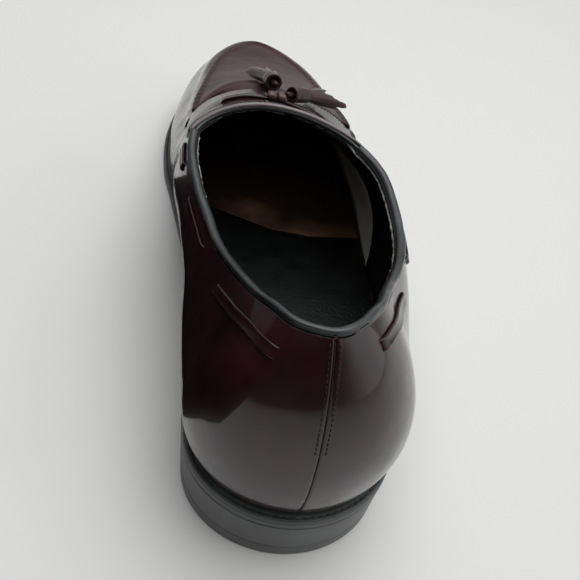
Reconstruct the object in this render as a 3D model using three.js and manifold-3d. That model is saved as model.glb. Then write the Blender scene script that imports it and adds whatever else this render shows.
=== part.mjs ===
// A tassel loafer, the right shoe of a pair: moc-toe apron, saddle, lace through the collar, two tassels.
// Millimetres. +Y runs from heel to toe, +X to the shoe's outer side, +Z up from the floor.
import * as THREE from "three";
import { mergeVertices } from "three/addons/utils/BufferGeometryUtils.js";
import Module from "manifold-3d";

const wasm = await Module();
wasm.setup();

const { clamp, lerp } = THREE.MathUtils;
const V = (x, y, z) => new THREE.Vector3(x, y, z);

// Sole: lengths are measured from the back of the outsole.
const LENGTH = 302;
const BALL_WIDTH = 102;
const HEEL_ROUND = 34; // how far the heel's rounding reaches forward
const TOE_ROUND = 76; // how far the toe's rounding reaches back
const HEEL_HEIGHT = 18.5;
const HEEL_LENGTH = 68;
const HEEL_TAPER = 0.6; // how much the block draws in down to the floor
const HEEL_BEVEL = 0.9;
const HEEL_INSET = 0.2; // heel block inside the outsole's edge
const BREAST_HOLLOW = 3; // how far the front of the heel curves in
const OUTSOLE_THICK = 4.6;
const EDGE_BEVEL = 0.9;
const WELT_BEVEL = 0.55; // at the ledge's upper edge
const FLAT_START = 183; // where the forefoot begins to touch the floor
const FLAT_END = 212;
const TOE_SPRING = 10;
const WELT = 2.8; // ledge of the outsole outside the upper

// Upper
const WALL = 2.2;
const BACK_HEIGHT = 91; // collar at the back seam, above the floor
const SIDE_HEIGHT = 67; // collar at its lowest
const INSTEP_HEIGHT = 76.5; // ridge of the vamp at the throat
const COLLAR_LENGTH = 161; // back of the sole to the middle of the throat
const COLLAR_SKEW = 0.1; // the throat runs further forward on the inner side
const RIDGE_BACK = 30; // where the ridge starts, from the back of the sole
const RIDGE_FRONT = 28; // where it ends, from the toe tip
const SADDLE_LENGTH = 23; // along the ridge, ahead of the throat

// Overlays, lining and trim
const GAP = 0.3; // between faces that touch on the real shoe
const OVERLAY = 1.1; // leather of the apron and the saddle
const SEAM_RISE = 1.3; // the apron's gathered seam above its leather
const ROLL_WIDTH = 4; // collar binding, across the wall
const ROLL_HEIGHT = 2.9;
const ROLL_SIDES = 8;
const LIP = { out: 2.5, thick: 2 }; // the saddle's rolled back edge: how far it stands off, and its thickness
const INSOLE_THICK = 2.2;
const INSOLE_MARGIN = 0.6; // between the wall and the insole's edge
const SOCK_THICK = 1;
const SOCK_LENGTH = 157;
const SOCK_BOW = 68; // how strongly the sock's front edge bows, and the place of its lowest point
const SOCK_BOW_AT = 29;

// Lace and tassels
const LACE_WIDTH = 3.8;
const LACE_THICK = 1.2;
const LACE_TURN = { first: 0.4, last: 1.5, drop: 0.35, start: 1.2 }; // the bend of a lace into its slot
const SLOT_REACH = 2.3; // slot, along the lace
const SLOT_MARGIN = 0.5; // slot past each edge of the lace
const KNOT = { length: 5.2, width: 6.4, height: 4.4, round: 1.2, bevel: 0.8 };
const HEAD = { radius: 3.1, length: 11, hollow: 2.2, mouth: 2.3, lip: 0.5, sides: 14 };
const STEM = { radius: 1.4, sides: 8 };
const STRIP = { width: 3.1, thick: 1.2, length: 22, count: 6, ring: 1.9, sunk: 1.5, droop: 0.05, fan: 0.17 };

// Plan of the sole: at is a share of the length, middle and half are shares of the ball width.
const PLAN = [
  { at: 0.0, middle: -0.008, half: 0.361 },
  { at: 0.13, middle: 0.0, half: 0.368 },
  { at: 0.23, middle: 0.03, half: 0.391 },
  { at: 0.33, middle: 0.066, half: 0.404 },
  { at: 0.43, middle: 0.083, half: 0.426 },
  { at: 0.53, middle: 0.083, half: 0.456 },
  { at: 0.62, middle: 0.074, half: 0.485 },
  { at: 0.69, middle: 0.055, half: 0.5 },
  { at: 0.76, middle: 0.044, half: 0.495 },
  { at: 0.84, middle: 0.035, half: 0.479 },
  { at: 0.92, middle: 0.025, half: 0.465 },
  { at: 1.0, middle: 0.012, half: 0.4 },
];

// Ribs of the last: at is the rib's share along the sole. belly (share of the ball width) and rise (share of
// the rib's height) place the swell of the wall, crown is how far out the top stays full. In is the inner side.
const RIBS = [
  { at: 0.0, bellyIn: 0.115, bellyOut: 0.115, rise: 0.43, crownIn: 0.6, crownOut: 0.6 },
  { at: 0.03, bellyIn: 0.14, bellyOut: 0.13, rise: 0.43, crownIn: 0.82, crownOut: 0.66 },
  { at: 0.07, bellyIn: 0.17, bellyOut: 0.15, rise: 0.43, crownIn: 0.6, crownOut: 0.6 },
  { at: 0.14, bellyIn: 0.195, bellyOut: 0.155, rise: 0.44, crownIn: 0.25, crownOut: 0.48 },
  { at: 0.21, bellyIn: 0.22, bellyOut: 0.16, rise: 0.46, crownIn: 0.04, crownOut: 0.46 },
  { at: 0.28, bellyIn: 0.245, bellyOut: 0.145, rise: 0.48, crownIn: 0.05, crownOut: 0.49 },
  { at: 0.35, bellyIn: 0.265, bellyOut: 0.11, rise: 0.5, crownIn: 0.36, crownOut: 0.54 },
  { at: 0.43, bellyIn: 0.255, bellyOut: 0.07, rise: 0.54, crownIn: 0.74, crownOut: 0.53 },
  { at: 0.5, bellyIn: 0.215, bellyOut: 0.05, rise: 0.56, crownIn: 1.02, crownOut: 0.44 },
  { at: 0.56, bellyIn: 0.15, bellyOut: 0.04, rise: 0.53, crownIn: 0.98, crownOut: 0.52 },
  { at: 0.64, bellyIn: 0.075, bellyOut: 0.035, rise: 0.48, crownIn: 0.8, crownOut: 0.68 },
  { at: 0.76, bellyIn: 0.022, bellyOut: 0.015, rise: 0.48, crownIn: 0.68, crownOut: 0.73 },
  { at: 0.88, bellyIn: 0.025, bellyOut: 0.06, rise: 0.52, crownIn: 0.7, crownOut: 0.78 },
  { at: 1.0, bellyIn: 0.085, bellyOut: 0.085, rise: 0.65, crownIn: 0.75, crownOut: 0.75 },
];

// Ridge of the last: at is a share of the length, height of the instep height, aside of the ball width.
const RIDGE = [
  { at: 0.0, height: 1.27, aside: -0.01 },
  { at: 0.13, height: 1.25, aside: -0.01 },
  { at: 0.24, height: 1.29, aside: -0.012 },
  { at: 0.33, height: 1.38, aside: -0.025 },
  { at: 0.43, height: 1.38, aside: -0.05 },
  { at: 0.485, height: 1.22, aside: -0.07 },
  { at: 0.533, height: 1.0, aside: -0.075 },
  { at: 0.58, height: 0.93, aside: -0.07 },
  { at: 0.64, height: 0.85, aside: -0.06 },
  { at: 0.71, height: 0.745, aside: -0.045 },
  { at: 0.79, height: 0.636, aside: -0.025 },
  { at: 0.86, height: 0.56, aside: -0.005 },
  { at: 0.92, height: 0.522, aside: 0.012 },
  { at: 1.0, height: 0.47, aside: 0.012 },
];

// Edge of the collar from the side: at is a share of the collar length, lift goes from side to back height.
const COLLAR = [
  { at: 0.0, lift: 1.02 },
  { at: 0.11, lift: 1.0 },
  { at: 0.19, lift: 0.87 },
  { at: 0.25, lift: 0.69 },
  { at: 0.31, lift: 0.5 },
  { at: 0.37, lift: 0.33 },
  { at: 0.44, lift: 0.18 },
  { at: 0.53, lift: 0.07 },
  { at: 0.63, lift: 0.02 },
  { at: 0.75, lift: 0.02 },
  { at: 0.86, lift: 0.05 },
  { at: 0.93, lift: 0.12 },
  { at: 0.97, lift: 0.24 },
  { at: 1.0, lift: 0.4 },
  { at: 1.1, lift: 0.9 },
  { at: 2.0, lift: 6.0 },
];

// Seam of apron and saddle: at is the rib, low is how far up the rib it lies.
const SEAM = [
  { at: 0.4, low: 0.54 },
  { at: 0.5, low: 0.52 },
  { at: 0.6, low: 0.52 },
  { at: 0.75, low: 0.615 },
  { at: 0.88, low: 0.66 },
  { at: 1.0, low: 0.66 },
];

// Rows across the apron from its seam to the ridge: share of the way, and share of the seam's rise.
const APRON_ROWS = [
  { way: 0, swell: 0.15 },
  { way: 0.04, swell: 1 },
  { way: 0.09, swell: 0.9 },
  { way: 0.14, swell: 0 },
  { way: 0.28, swell: 0 },
  { way: 0.42, swell: 0 },
  { way: 0.56, swell: 0 },
  { way: 0.7, swell: 0 },
  { way: 0.85, swell: 0 },
  { way: 1, swell: 0 },
];
const WALL_ROWS = 7; // rows of the wall from the sole to the seam

// Runs of the lace outside the collar: from and to are shares of the collar length, drop is how far the
// lace's middle lies below the collar's edge, and side is -1 on the inner side.
const LACE_RUNS = [
  { name: "lace_run_inner_back", side: -1, from: 0.11, to: 0.37, drop: 6.8 },
  { name: "lace_run_inner_middle", side: -1, from: 0.5, to: 0.7, drop: 5 },
  { name: "lace_run_inner_front", side: -1, from: 0.81, to: 0.91, drop: 5 },
  { name: "lace_run_outer_back", side: 1, from: 0.14, to: 0.38, drop: 5.8 },
  { name: "lace_run_outer_middle", side: 1, from: 0.52, to: 0.65, drop: 5 },
  { name: "lace_run_outer_front", side: 1, from: 0.74, to: 0.84, drop: 5 },
];

// The front ends of the lace lie across the saddle, from a slot to the knot: points from the knot's middle.
const KNOT_AT = { x: -3, y: COLLAR_LENGTH + 7.5 };
const INNER_END = [
  { x: -22.5, y: 3 },
  { x: -18.5, y: 3.4 },
  { x: -13.5, y: 3 },
  { x: -8.5, y: 1.9 },
  { x: -3.4, y: 0.6 },
];
const OUTER_END = [
  { x: 3.4, y: -0.4 },
  { x: 9.3, y: -2.6 },
  { x: 16, y: -5.2 },
  { x: 21, y: -7.4 },
  { x: 25, y: -9.2 },
];

// Tassels: the mouth and the tip of each, from the knot's middle in plan, and how high each lies off the
// leather.
const TASSELS = [
  {
    name: "tassel_inner",
    mouth: { x: -0.4, y: 8.6, rise: 1.6 },
    tip: { x: -2, y: 46, rise: 0.3 },
    stem: 4.4,
  },
  {
    name: "tassel_outer",
    mouth: { x: 6, y: 2.3, rise: 0.2 },
    tip: { x: 33, y: 24, rise: 5 },
    stem: 3.2,
  },
];

// A smooth column of a table at a place between its rows.
function sample(table, column, at) {
  const last = table.length - 1;
  let i = 0;
  while (i < last - 1 && table[i + 1].at < at) i += 1;
  const [a, b] = [table[i], table[i + 1]];
  const slope = (k) => {
    const [p, n] = [table[Math.max(k - 1, 0)], table[Math.min(k + 1, last)]];
    return (n[column] - p[column]) / (n.at - p.at);
  };
  const span = b.at - a.at;
  const u = clamp((at - a.at) / span, 0, 1);
  const fall = (1 + 2 * u) * (1 - u) ** 2;
  const bend = slope(i) * u * (1 - u) ** 2 - slope(i + 1) * u * u * (1 - u);
  return a[column] * fall + b[column] * (1 - fall) + bend * span;
}

// The zero of a rising or falling function between two places.
function zeroOf(f, from, to) {
  const rising = f(to) > f(from);
  let [a, b] = [from, to];
  for (let i = 0; i < 40; i += 1) {
    const m = (a + b) / 2;
    if (f(m) > 0 === rising) b = m;
    else a = m;
  }
  return (a + b) / 2;
}

// Height of the outsole's underside: over the heel block, down the shank, flat at the ball, up at the toe.
function soleLine(y) {
  const shank = clamp((y - HEEL_LENGTH) / (FLAT_START - HEEL_LENGTH), 0, 1);
  const lift = Math.max(y - FLAT_END, 0) / (LENGTH - FLAT_END);
  return ((HEEL_HEIGHT + GAP) * (1 + Math.cos(Math.PI * shank))) / 2 + TOE_SPRING * lift ** 1.8;
}

const top = (y) => soleLine(y) + OUTSOLE_THICK;

function plainRim(at, side) {
  const y = at * LENGTH;
  const back = Math.max(1 - y / HEEL_ROUND, 0);
  const front = Math.max(1 - (LENGTH - y) / TOE_ROUND, 0);
  const round = Math.sqrt(Math.max(1 - back * back, 0)) * Math.sqrt(Math.max(1 - front * front, 0));
  const half = sample(PLAN, "half", at) * BALL_WIDTH * round;
  return V(sample(PLAN, "middle", at) * BALL_WIDTH + side * half, y, 0);
}

// Outward direction of the sole's rim in plan.
function outward(at, side) {
  if (at <= 0) return V(0, -1, 0);
  if (at >= 1) return V(0, 1, 0);
  const step = Math.min(0.002, at / 2, (1 - at) / 2);
  const along = plainRim(at + step, side).sub(plainRim(at - step, side));
  return V(along.y * side, -along.x * side, 0).normalize();
}

const rim = (at, side, inset = 0) => plainRim(at, side).addScaledVector(outward(at, side), -inset);

// Height and sideways place of the last's ridge, by its own distance from the back of the sole.
const ridgeHeight = (y) => sample(RIDGE, "height", y / LENGTH) * INSTEP_HEIGHT;
const ridgeAt = (y) => V(sample(RIDGE, "aside", y / LENGTH) * BALL_WIDTH, y, ridgeHeight(y));
const ridgeSlope = (y) => (ridgeHeight(y + 1) - ridgeHeight(y - 1)) / 2;
const RIDGE_LENGTH = LENGTH - RIDGE_FRONT - RIDGE_BACK;
const ridgeOf = (at) => ridgeAt(RIDGE_BACK + at * RIDGE_LENGTH);

// The last's surface: u is -1 at the inner feather edge, 0 on the ridge and 1 at the outer feather edge.
function last(at, u) {
  const side = u < 0 ? -1 : 1;
  const foot = rim(at, side, WELT);
  foot.z = top(foot.y) + GAP;
  const ridge = ridgeOf(at);
  const sideOf = (column) => sample(RIBS, column + (side < 0 ? "In" : "Out"), at);
  const swell = foot.clone().addScaledVector(outward(at, side), sideOf("belly") * BALL_WIDTH);
  swell.z += sample(RIBS, "rise", at) * (ridge.z - foot.z);
  const crown = ridge.clone().lerp(foot, sideOf("crown"));
  crown.z = ridge.z + ridgeSlope(ridge.y) * (crown.y - ridge.y);
  return new THREE.CubicBezierCurve3(foot, swell, crown, ridge).getPoint(1 - Math.abs(u));
}

// How far apart the places lie that give a direction on the surface.
const STEP = 0.004;

// Outward normal of that surface; at the back seam and the toe tip both sides share it.
function normal(at, u) {
  if (Math.abs(u) < STEP) return V(0, -ridgeSlope(ridgeOf(at).y), 1).normalize();
  const across = last(at, clamp(u + STEP, -1, 1)).sub(last(at, clamp(u - STEP, -1, 1)));
  const along = last(Math.min(at + STEP, 1), u).sub(last(Math.max(at - STEP, 0), u));
  if (at < STEP) along.copy(last(STEP, u)).sub(last(STEP, -u));
  if (at > 1 - STEP) along.copy(last(1 - STEP, -u)).sub(last(1 - STEP, u));
  return across.cross(along).normalize();
}

const lifted = (at, u, lift) => last(at, u).addScaledVector(normal(at, u), lift);

// The place on the last under a point in plan.
function under(x, y) {
  const place = { at: y / LENGTH, u: x / BALL_WIDTH };
  for (let i = 0; i < 60; i += 1) {
    const p = last(place.at, place.u);
    place.at = clamp(place.at + (y - p.y) / LENGTH, 0, 1);
    place.u = clamp(place.u + (x - p.x) / BALL_WIDTH, -1, 1);
  }
  return place;
}

const spot = (x, y, lift) => {
  const { at, u } = under(x, y);
  return lifted(at, u, lift);
};

const collarHeight = (p) => {
  const along = p.y / COLLAR_LENGTH;
  const skew = (COLLAR_SKEW * p.x * along * along) / COLLAR_LENGTH;
  const lift = sample(COLLAR, "lift", along + skew);
  return lerp(SIDE_HEIGHT, BACK_HEIGHT, lift);
};

// The rib where the ridge meets the collar: the middle of the throat.
const THROAT_LIMITS = [0.4, 0.7];
const THROAT = zeroOf((at) => ridgeOf(at).z - collarHeight(ridgeOf(at)), ...THROAT_LIMITS);

// Where the search up a rib for the collar's edge starts, and its step.
const FIRST_LOOK = 0.2;
const LOOK = 0.02;

// How far up a rib the given drop below the collar's edge lies: 1 where the rib reaches the ridge first.
function reach(at, side, drop = 0) {
  if (at >= THROAT) return 1;
  const above = (t) => {
    const p = last(at, side * (1 - t));
    return p.z - collarHeight(p) + drop;
  };
  let t = FIRST_LOOK;
  while (t < 1 && above(t) < 0) t += LOOK;
  return t >= 1 ? 1 : zeroOf(above, t - LOOK, t);
}

// Ribs where the saddle ends and where the seam meets the collar.
const seamLow = (at) => sample(SEAM, "low", at);
const SADDLE_END = THROAT + SADDLE_LENGTH / RIDGE_LENGTH;
const CORNER = {
  [-1]: zeroOf((at) => reach(at, -1) - seamLow(at), THROAT / 2, THROAT),
  [1]: zeroOf((at) => reach(at, 1) - seamLow(at), THROAT / 2, THROAT),
};

// Evenly counted places between two ends, crowded towards the first, the last or neither.
const places = (count, from, to, ease = (k) => k) =>
  Array.from({ length: count + 1 }, (_, i) => lerp(from, to, ease(i / count)));
const slowStart = (k) => 1 - Math.cos((Math.PI / 2) * k);
const slowEnd = (k) => Math.sin((Math.PI / 2) * k);
const brake = (k) => 1 - (1 - k) ** 2;

// Ribs along the upper, by side and stretch.
const BACK_RIBS = 16;
const THROAT_RIBS = 7;
const SADDLE_RIBS = 5;
const TOE_RIBS = 13;
const backRibs = (side, short = 0) =>
  places(BACK_RIBS, 0, CORNER[side], slowStart).map((at) => Math.min(at, CORNER[side] - short));
const throatRibs = (side) => places(THROAT_RIBS, CORNER[side], THROAT, brake);
const saddleRibs = places(SADDLE_RIBS, THROAT, SADDLE_END);
const toeRibs = places(TOE_RIBS, SADDLE_END, 1, slowEnd);
const allRibs = (side) =>
  [backRibs(side), throatRibs(side).slice(1), saddleRibs.slice(1), toeRibs.slice(1)].flat();

// A triangle mesh with shared corners, its flat triangles dropped and its faces turned outwards.
function closed(geometry) {
  const plain = new THREE.BufferGeometry();
  plain.setAttribute("position", (geometry.index ? geometry.toNonIndexed() : geometry).getAttribute("position"));
  const merged = mergeVertices(plain, 1e-3);
  const at = (k) => V().fromBufferAttribute(merged.getAttribute("position"), k);
  const faces = [];
  let volume = 0;
  for (let i = 0; i < merged.index.count; i += 3) {
    const [a, b, c] = [0, 1, 2].map((k) => merged.index.getX(i + k));
    if (a === b || b === c || c === a) continue;
    faces.push([a, b, c]);
    volume += at(a).dot(at(b).cross(at(c)));
  }
  merged.setIndex(faces.flatMap(([a, b, c]) => (volume < 0 ? [a, c, b] : [a, b, c])));
  return merged;
}

function fromTriangles(points) {
  const geometry = new THREE.BufferGeometry().setFromPoints(points);
  return closed(geometry);
}

// A solid through rings of points. Each ring runs along one side and back along the other, and the ends are
// closed straight across from side to side.
function loft(rings) {
  const points = [];
  const size = rings[0].length;
  for (let i = 0; i + 1 < rings.length; i += 1) {
    for (let j = 0; j < size; j += 1) {
      const k = (j + 1) % size;
      points.push(rings[i][j], rings[i][k], rings[i + 1][k], rings[i][j], rings[i + 1][k], rings[i + 1][j]);
    }
  }
  const [start, end] = [rings[0], rings[rings.length - 1]];
  for (let j = 0; j + 1 < size / 2; j += 1) {
    const [k, l, m] = [j + 1, size - 2 - j, size - 1 - j];
    points.push(start[j], start[l], start[k], start[j], start[m], start[l]);
    points.push(end[j], end[k], end[l], end[j], end[l], end[m]);
  }
  return fromTriangles(points);
}

// A wall between two faces. Each patch is a grid of point pairs on one side of the shoe, rib by rib; where
// patches share an edge they join, and every free edge is closed between the two faces.
function wall(patches) {
  const [face, back] = [[], []];
  for (const { side, grid } of patches) {
    for (let i = 0; i + 1 < grid.length; i += 1) {
      for (let j = 0; j + 1 < grid[i].length; j += 1) {
        const [a, b, c, d] = [grid[i][j], grid[i + 1][j], grid[i + 1][j + 1], grid[i][j + 1]];
        for (const pair of side > 0 ? [a, b, c, a, c, d] : [a, c, b, a, d, c]) {
          face.push(...pair.face);
          back.push(...pair.back);
        }
      }
    }
  }
  const paired = new THREE.BufferGeometry();
  paired.setAttribute("position", new THREE.Float32BufferAttribute(face, 3));
  paired.setAttribute("back", new THREE.Float32BufferAttribute(back, 3));
  const merged = mergeVertices(paired, 1e-3);
  const faceAt = (k) => V().fromBufferAttribute(merged.getAttribute("position"), k);
  const backAt = (k) => V().fromBufferAttribute(merged.getAttribute("back"), k);
  const edges = new Map();
  const points = [];
  for (let i = 0; i < merged.index.count; i += 3) {
    const [a, b, c] = [0, 1, 2].map((k) => merged.index.getX(i + k));
    if (a === b || b === c || c === a) continue;
    points.push(faceAt(a), faceAt(b), faceAt(c), backAt(a), backAt(c), backAt(b));
    for (const [p, q] of [[a, b], [b, c], [c, a]]) edges.set(`${p} ${q}`, [p, q]);
  }
  for (const [p, q] of edges.values()) {
    if (edges.has(`${q} ${p}`)) continue;
    points.push(faceAt(q), faceAt(p), backAt(p), faceAt(q), backAt(p), backAt(q));
  }
  return fromTriangles(points);
}

// Point pairs at one place: the faces lie low and high above the last.
const pair = (at, u, low, high) => ({
  face: lifted(at, u, high).toArray(),
  back: lifted(at, u, low).toArray(),
});

function patch(side, ribs, rows, from, to, low, high) {
  const grid = ribs.map((at) =>
    rows.map((row) => {
      const u = side * (1 - lerp(from(at), to(at), row.way));
      return pair(at, u, low, high + row.swell * SEAM_RISE);
    }),
  );
  return { side, grid };
}

const solidOf = (geometry) => {
  const { position } = geometry.attributes;
  const mesh = new wasm.Mesh({
    numProp: 3,
    vertProperties: Float32Array.from(position.array),
    triVerts: Uint32Array.from(geometry.index.array),
  });
  return new wasm.Manifold(mesh);
};

const geometryOf = (solid) => {
  const { vertProperties, triVerts, numProp } = solid.getMesh();
  const geometry = new THREE.BufferGeometry();
  geometry.setAttribute("position", new THREE.Float32BufferAttribute(vertProperties, numProp));
  return geometry.setIndex(Array.from(triVerts));
};

const cut = (geometry, tools) => {
  const solid = tools.reduce((rest, tool) => rest.subtract(solidOf(closed(tool))), solidOf(geometry));
  return geometryOf(solid);
};

// Sole

// Stations along the sole: close together round the heel and the toe.
const SOLE_BACK = { count: 10, end: 0.18 };
const SOLE_MIDDLE = { count: 14, end: 0.74 };
const SOLE_FRONT = { count: 12, end: 1 };
const solePlaces = [
  ...places(SOLE_BACK.count, 0, SOLE_BACK.end, slowStart),
  ...places(SOLE_MIDDLE.count, SOLE_BACK.end, SOLE_MIDDLE.end).slice(1),
  ...places(SOLE_FRONT.count, SOLE_MIDDLE.end, SOLE_FRONT.end, slowEnd).slice(1),
];

// A flat layer of the sole between two heights, its edge stepped by rows of inset and height.
function layer(stations, steps) {
  const profile = (at, side) =>
    steps.map(({ inset, height }) => {
      const p = rim(at, side, inset);
      return p.setZ(height(p.y));
    });
  return loft(stations.map((at) => [...profile(at, -1), ...profile(at, 1).reverse()]));
}

const outsole = () =>
  layer(solePlaces, [
    { inset: EDGE_BEVEL, height: (y) => soleLine(y) },
    { inset: 0, height: (y) => soleLine(y) + EDGE_BEVEL },
    { inset: 0, height: (y) => top(y) - EDGE_BEVEL },
    { inset: WELT_BEVEL, height: top },
  ]);

const insoleInset = WELT + WALL + INSOLE_MARGIN;
const insoleTop = (y) => top(y) + GAP + INSOLE_THICK;
const insole = () =>
  layer(solePlaces, [
    { inset: insoleInset, height: (y) => top(y) + GAP },
    { inset: insoleInset, height: insoleTop },
  ]);

const SOCK_STATIONS = 12;
const SOCK_STRIPS = 6;

// The sock covers the heel half of the insole; its front edge is a shallow curve.
function sock() {
  const stations = places(SOCK_STATIONS, 0, SOCK_LENGTH / LENGTH, slowStart);
  const inset = insoleInset + GAP;
  const rings = stations.map((at) => {
    const [inner, outer] = [-1, 1].map((side) => rim(at, side, inset));
    const bow = (p) => (SOCK_BOW * ((p.x - SOCK_BOW_AT) / BALL_WIDTH) ** 2 * (at * LENGTH)) / SOCK_LENGTH;
    const across = places(SOCK_STRIPS, 0, 1).map((k) => inner.clone().lerp(outer, k));
    for (const p of across) p.y += bow(p);
    const low = across.map((p) => p.clone().setZ(insoleTop(p.y) + GAP));
    const high = across.map((p) => p.clone().setZ(insoleTop(p.y) + GAP + SOCK_THICK));
    return [...low, ...high.reverse()];
  });
  return loft(rings);
}

function heelBlock() {
  const ends = places(SOLE_BACK.count, 0, HEEL_LENGTH / LENGTH, slowStart);
  const sideLine = (side) => ends.map((at) => rim(at, side, HEEL_INSET));
  const [inner, outer] = [sideLine(-1), sideLine(1)];
  const breast = [0.25, 0.5, 0.75].map((k) => {
    const p = outer[ends.length - 1].clone().lerp(inner[ends.length - 1], k);
    return p.setY(p.y - BREAST_HOLLOW * 4 * k * (1 - k));
  });
  const outline = [...inner.slice().reverse(), ...outer.slice(1), ...breast];
  const shape = new THREE.Shape(outline.map((p) => new THREE.Vector2(p.x, p.y)));
  const block = new THREE.ExtrudeGeometry(shape, {
    depth: HEEL_HEIGHT - 2 * HEEL_BEVEL,
    bevelThickness: HEEL_BEVEL,
    bevelSize: HEEL_BEVEL,
    bevelOffset: -HEEL_BEVEL,
    bevelSegments: 1,
  });
  block.translate(0, 0, HEEL_BEVEL);
  const { position } = block.attributes;
  for (let i = 0; i < position.count; i += 1) {
    const draw = 1 - (HEEL_TAPER / HEEL_ROUND) * (1 - position.getZ(i) / HEEL_HEIGHT);
    position.setX(i, position.getX(i) * draw);
    position.setY(i, HEEL_ROUND + (position.getY(i) - HEEL_ROUND) * draw);
  }
  return closed(block);
}

// Upper, apron and saddle

const floorOf = () => 0;
const wallTop = (side) => (at) => (at <= CORNER[side] ? reach(at, side) : seamLow(at));
const wallRows = places(WALL_ROWS, 0, 1).map((way) => ({ way, swell: 0 }));
const flatRows = APRON_ROWS.map(({ way }) => ({ way, swell: 0 }));

function upper() {
  const patches = [-1, 1].flatMap((side) => {
    const front = allRibs(side).filter((at) => at >= CORNER[side]);
    const topOf = (at) => reach(at, side);
    return [
      patch(side, allRibs(side), wallRows, floorOf, wallTop(side), -WALL, 0),
      patch(side, front, flatRows, wallTop(side), topOf, -WALL, 0),
    ];
  });
  return wall(patches);
}

// Frame at the collar's edge: the point, the outward normal and the direction off the edge.
function edgeFrame(side, at) {
  const point = (k) => last(k, side * (1 - reach(k, side)));
  const p = point(at);
  const n = normal(at, side * (1 - reach(at, side)));
  const near = (k, s) => last(k, s * (1 - reach(k, s)));
  const along = point(Math.min(at + STEP, THROAT)).sub(point(Math.max(at - STEP, 0)));
  if (at <= 0) along.copy(near(STEP, side)).sub(near(STEP, -side));
  if (at >= THROAT) along.copy(near(at - STEP, -side)).sub(near(at - STEP, side));
  const off = n.clone().cross(along).multiplyScalar(side).normalize();
  return { p, n, off };
}

// Rows of the saddle's rolled lip: off its edge and above the last on the outside, and above the last on the
// inside, as shares of its reach and thickness.
const LIP_ROWS = [
  { off: 0.36, high: 0.62, inner: 0.15 },
  { off: 0.92, high: 0.25, inner: -0.15 },
  { off: 1, high: -0.45, inner: -0.5 },
  { off: 0.64, high: -1.05, inner: -1 },
];

function saddle() {
  const patches = [-1, 1].flatMap((side) => {
    const ribs = [...throatRibs(side), ...saddleRibs.slice(1)];
    const main = patch(side, ribs, flatRows, seamLow, (at) => reach(at, side), GAP, GAP + OVERLAY);
    const roll = throatRibs(side).map((at) => {
      const { p, n, off } = edgeFrame(side, at);
      const place = (out, up) => p.clone().addScaledVector(off, out).addScaledVector(n, up).toArray();
      const lip = LIP_ROWS.map(({ off: out, high, inner }) => ({
        face: place(out * LIP.out, high * LIP.thick),
        back: place(GAP, inner * LIP.thick),
      }));
      return [{ face: place(0, GAP + OVERLAY), back: place(0, GAP) }, ...lip];
    });
    return [main, { side, grid: roll }];
  });
  return wall(patches);
}

const apronRibs = [SADDLE_END + GAP / RIDGE_LENGTH, ...toeRibs.slice(1)];
const apron = () =>
  wall([-1, 1].map((side) => patch(side, apronRibs, APRON_ROWS, seamLow, () => 1, GAP, GAP + OVERLAY)));

// The collar's binding: a roll that sits on the edge of the wall from one corner of the saddle to the other.
function binding() {
  const ends = (side) => backRibs(side, (2 * GAP) / RIDGE_LENGTH).map((at) => ({ side, at }));
  const frames = [...ends(-1).reverse(), ...ends(1).slice(1)];
  const ring = ({ side, at }) => {
    const { p, n, off } = edgeFrame(side, at);
    const centre = p.clone().addScaledVector(off, GAP + ROLL_HEIGHT / 2).addScaledVector(n, -WALL / 2);
    return Array.from({ length: ROLL_SIDES }, (_, i) => {
      const a = (2 * Math.PI * (i + 1 / 2)) / ROLL_SIDES;
      const [across, rise] = [(Math.cos(a) * ROLL_WIDTH) / 2, (Math.sin(a) * ROLL_HEIGHT) / 2];
      return centre.clone().addScaledVector(n, across).addScaledVector(off, rise);
    });
  };
  return loft(frames.map(ring));
}

// Lace

// How much of the wall a leg of the lace goes through.
const LEG_DEPTH = 0.75;

// A flat lace along points that lie on the leather, with a leg down through a slot at each named end.
function lace(points, legs) {
  const rise = (k) => k.lift + GAP + LACE_THICK / 2;
  const rings = [];
  const ring = (k, along, up, lean) => {
    const tilt = k.n.clone().multiplyScalar(1 - Math.abs(lean)).addScaledVector(k.along, lean).normalize();
    const centre = k.p.clone().addScaledVector(k.along, along).addScaledVector(k.n, up);
    const across = k.n.clone().cross(k.along).normalize().multiplyScalar(LACE_WIDTH / 2);
    const thick = tilt.multiplyScalar(LACE_THICK / 2);
    rings.push([
      centre.clone().add(across).add(thick),
      centre.clone().sub(across).add(thick),
      centre.clone().sub(across).sub(thick),
      centre.clone().add(across).sub(thick),
    ]);
  };
  const frames = points.map((k, i) => {
    const [a, b] = [points[Math.max(i - 1, 0)], points[Math.min(i + 1, points.length - 1)]];
    const along = b.p.clone().sub(a.p);
    along.addScaledVector(k.n, -along.dot(k.n)).normalize();
    return { ...k, along };
  });
  const leg = (k, way) => {
    const steps = [
      () => ring(k, 0, -WALL * LEG_DEPTH, way),
      () => ring(k, 0, rise(k) - LACE_TURN.start, way),
      () => ring(k, -way * LACE_TURN.first, rise(k) - LACE_TURN.drop, way / 2),
      () => ring(k, -way * LACE_TURN.last, rise(k), 0),
    ];
    (way < 0 ? steps : steps.reverse()).forEach((step) => step());
  };
  const [first, end] = [frames[0], frames[frames.length - 1]];
  if (legs.first) leg(first, -1);
  else ring(first, 0, rise(first), 0);
  for (const k of frames.slice(1, -1)) ring(k, 0, rise(k), 0);
  if (legs.last) leg(end, 1);
  else ring(end, 0, rise(end), 0);
  return loft(rings);
}

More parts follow.
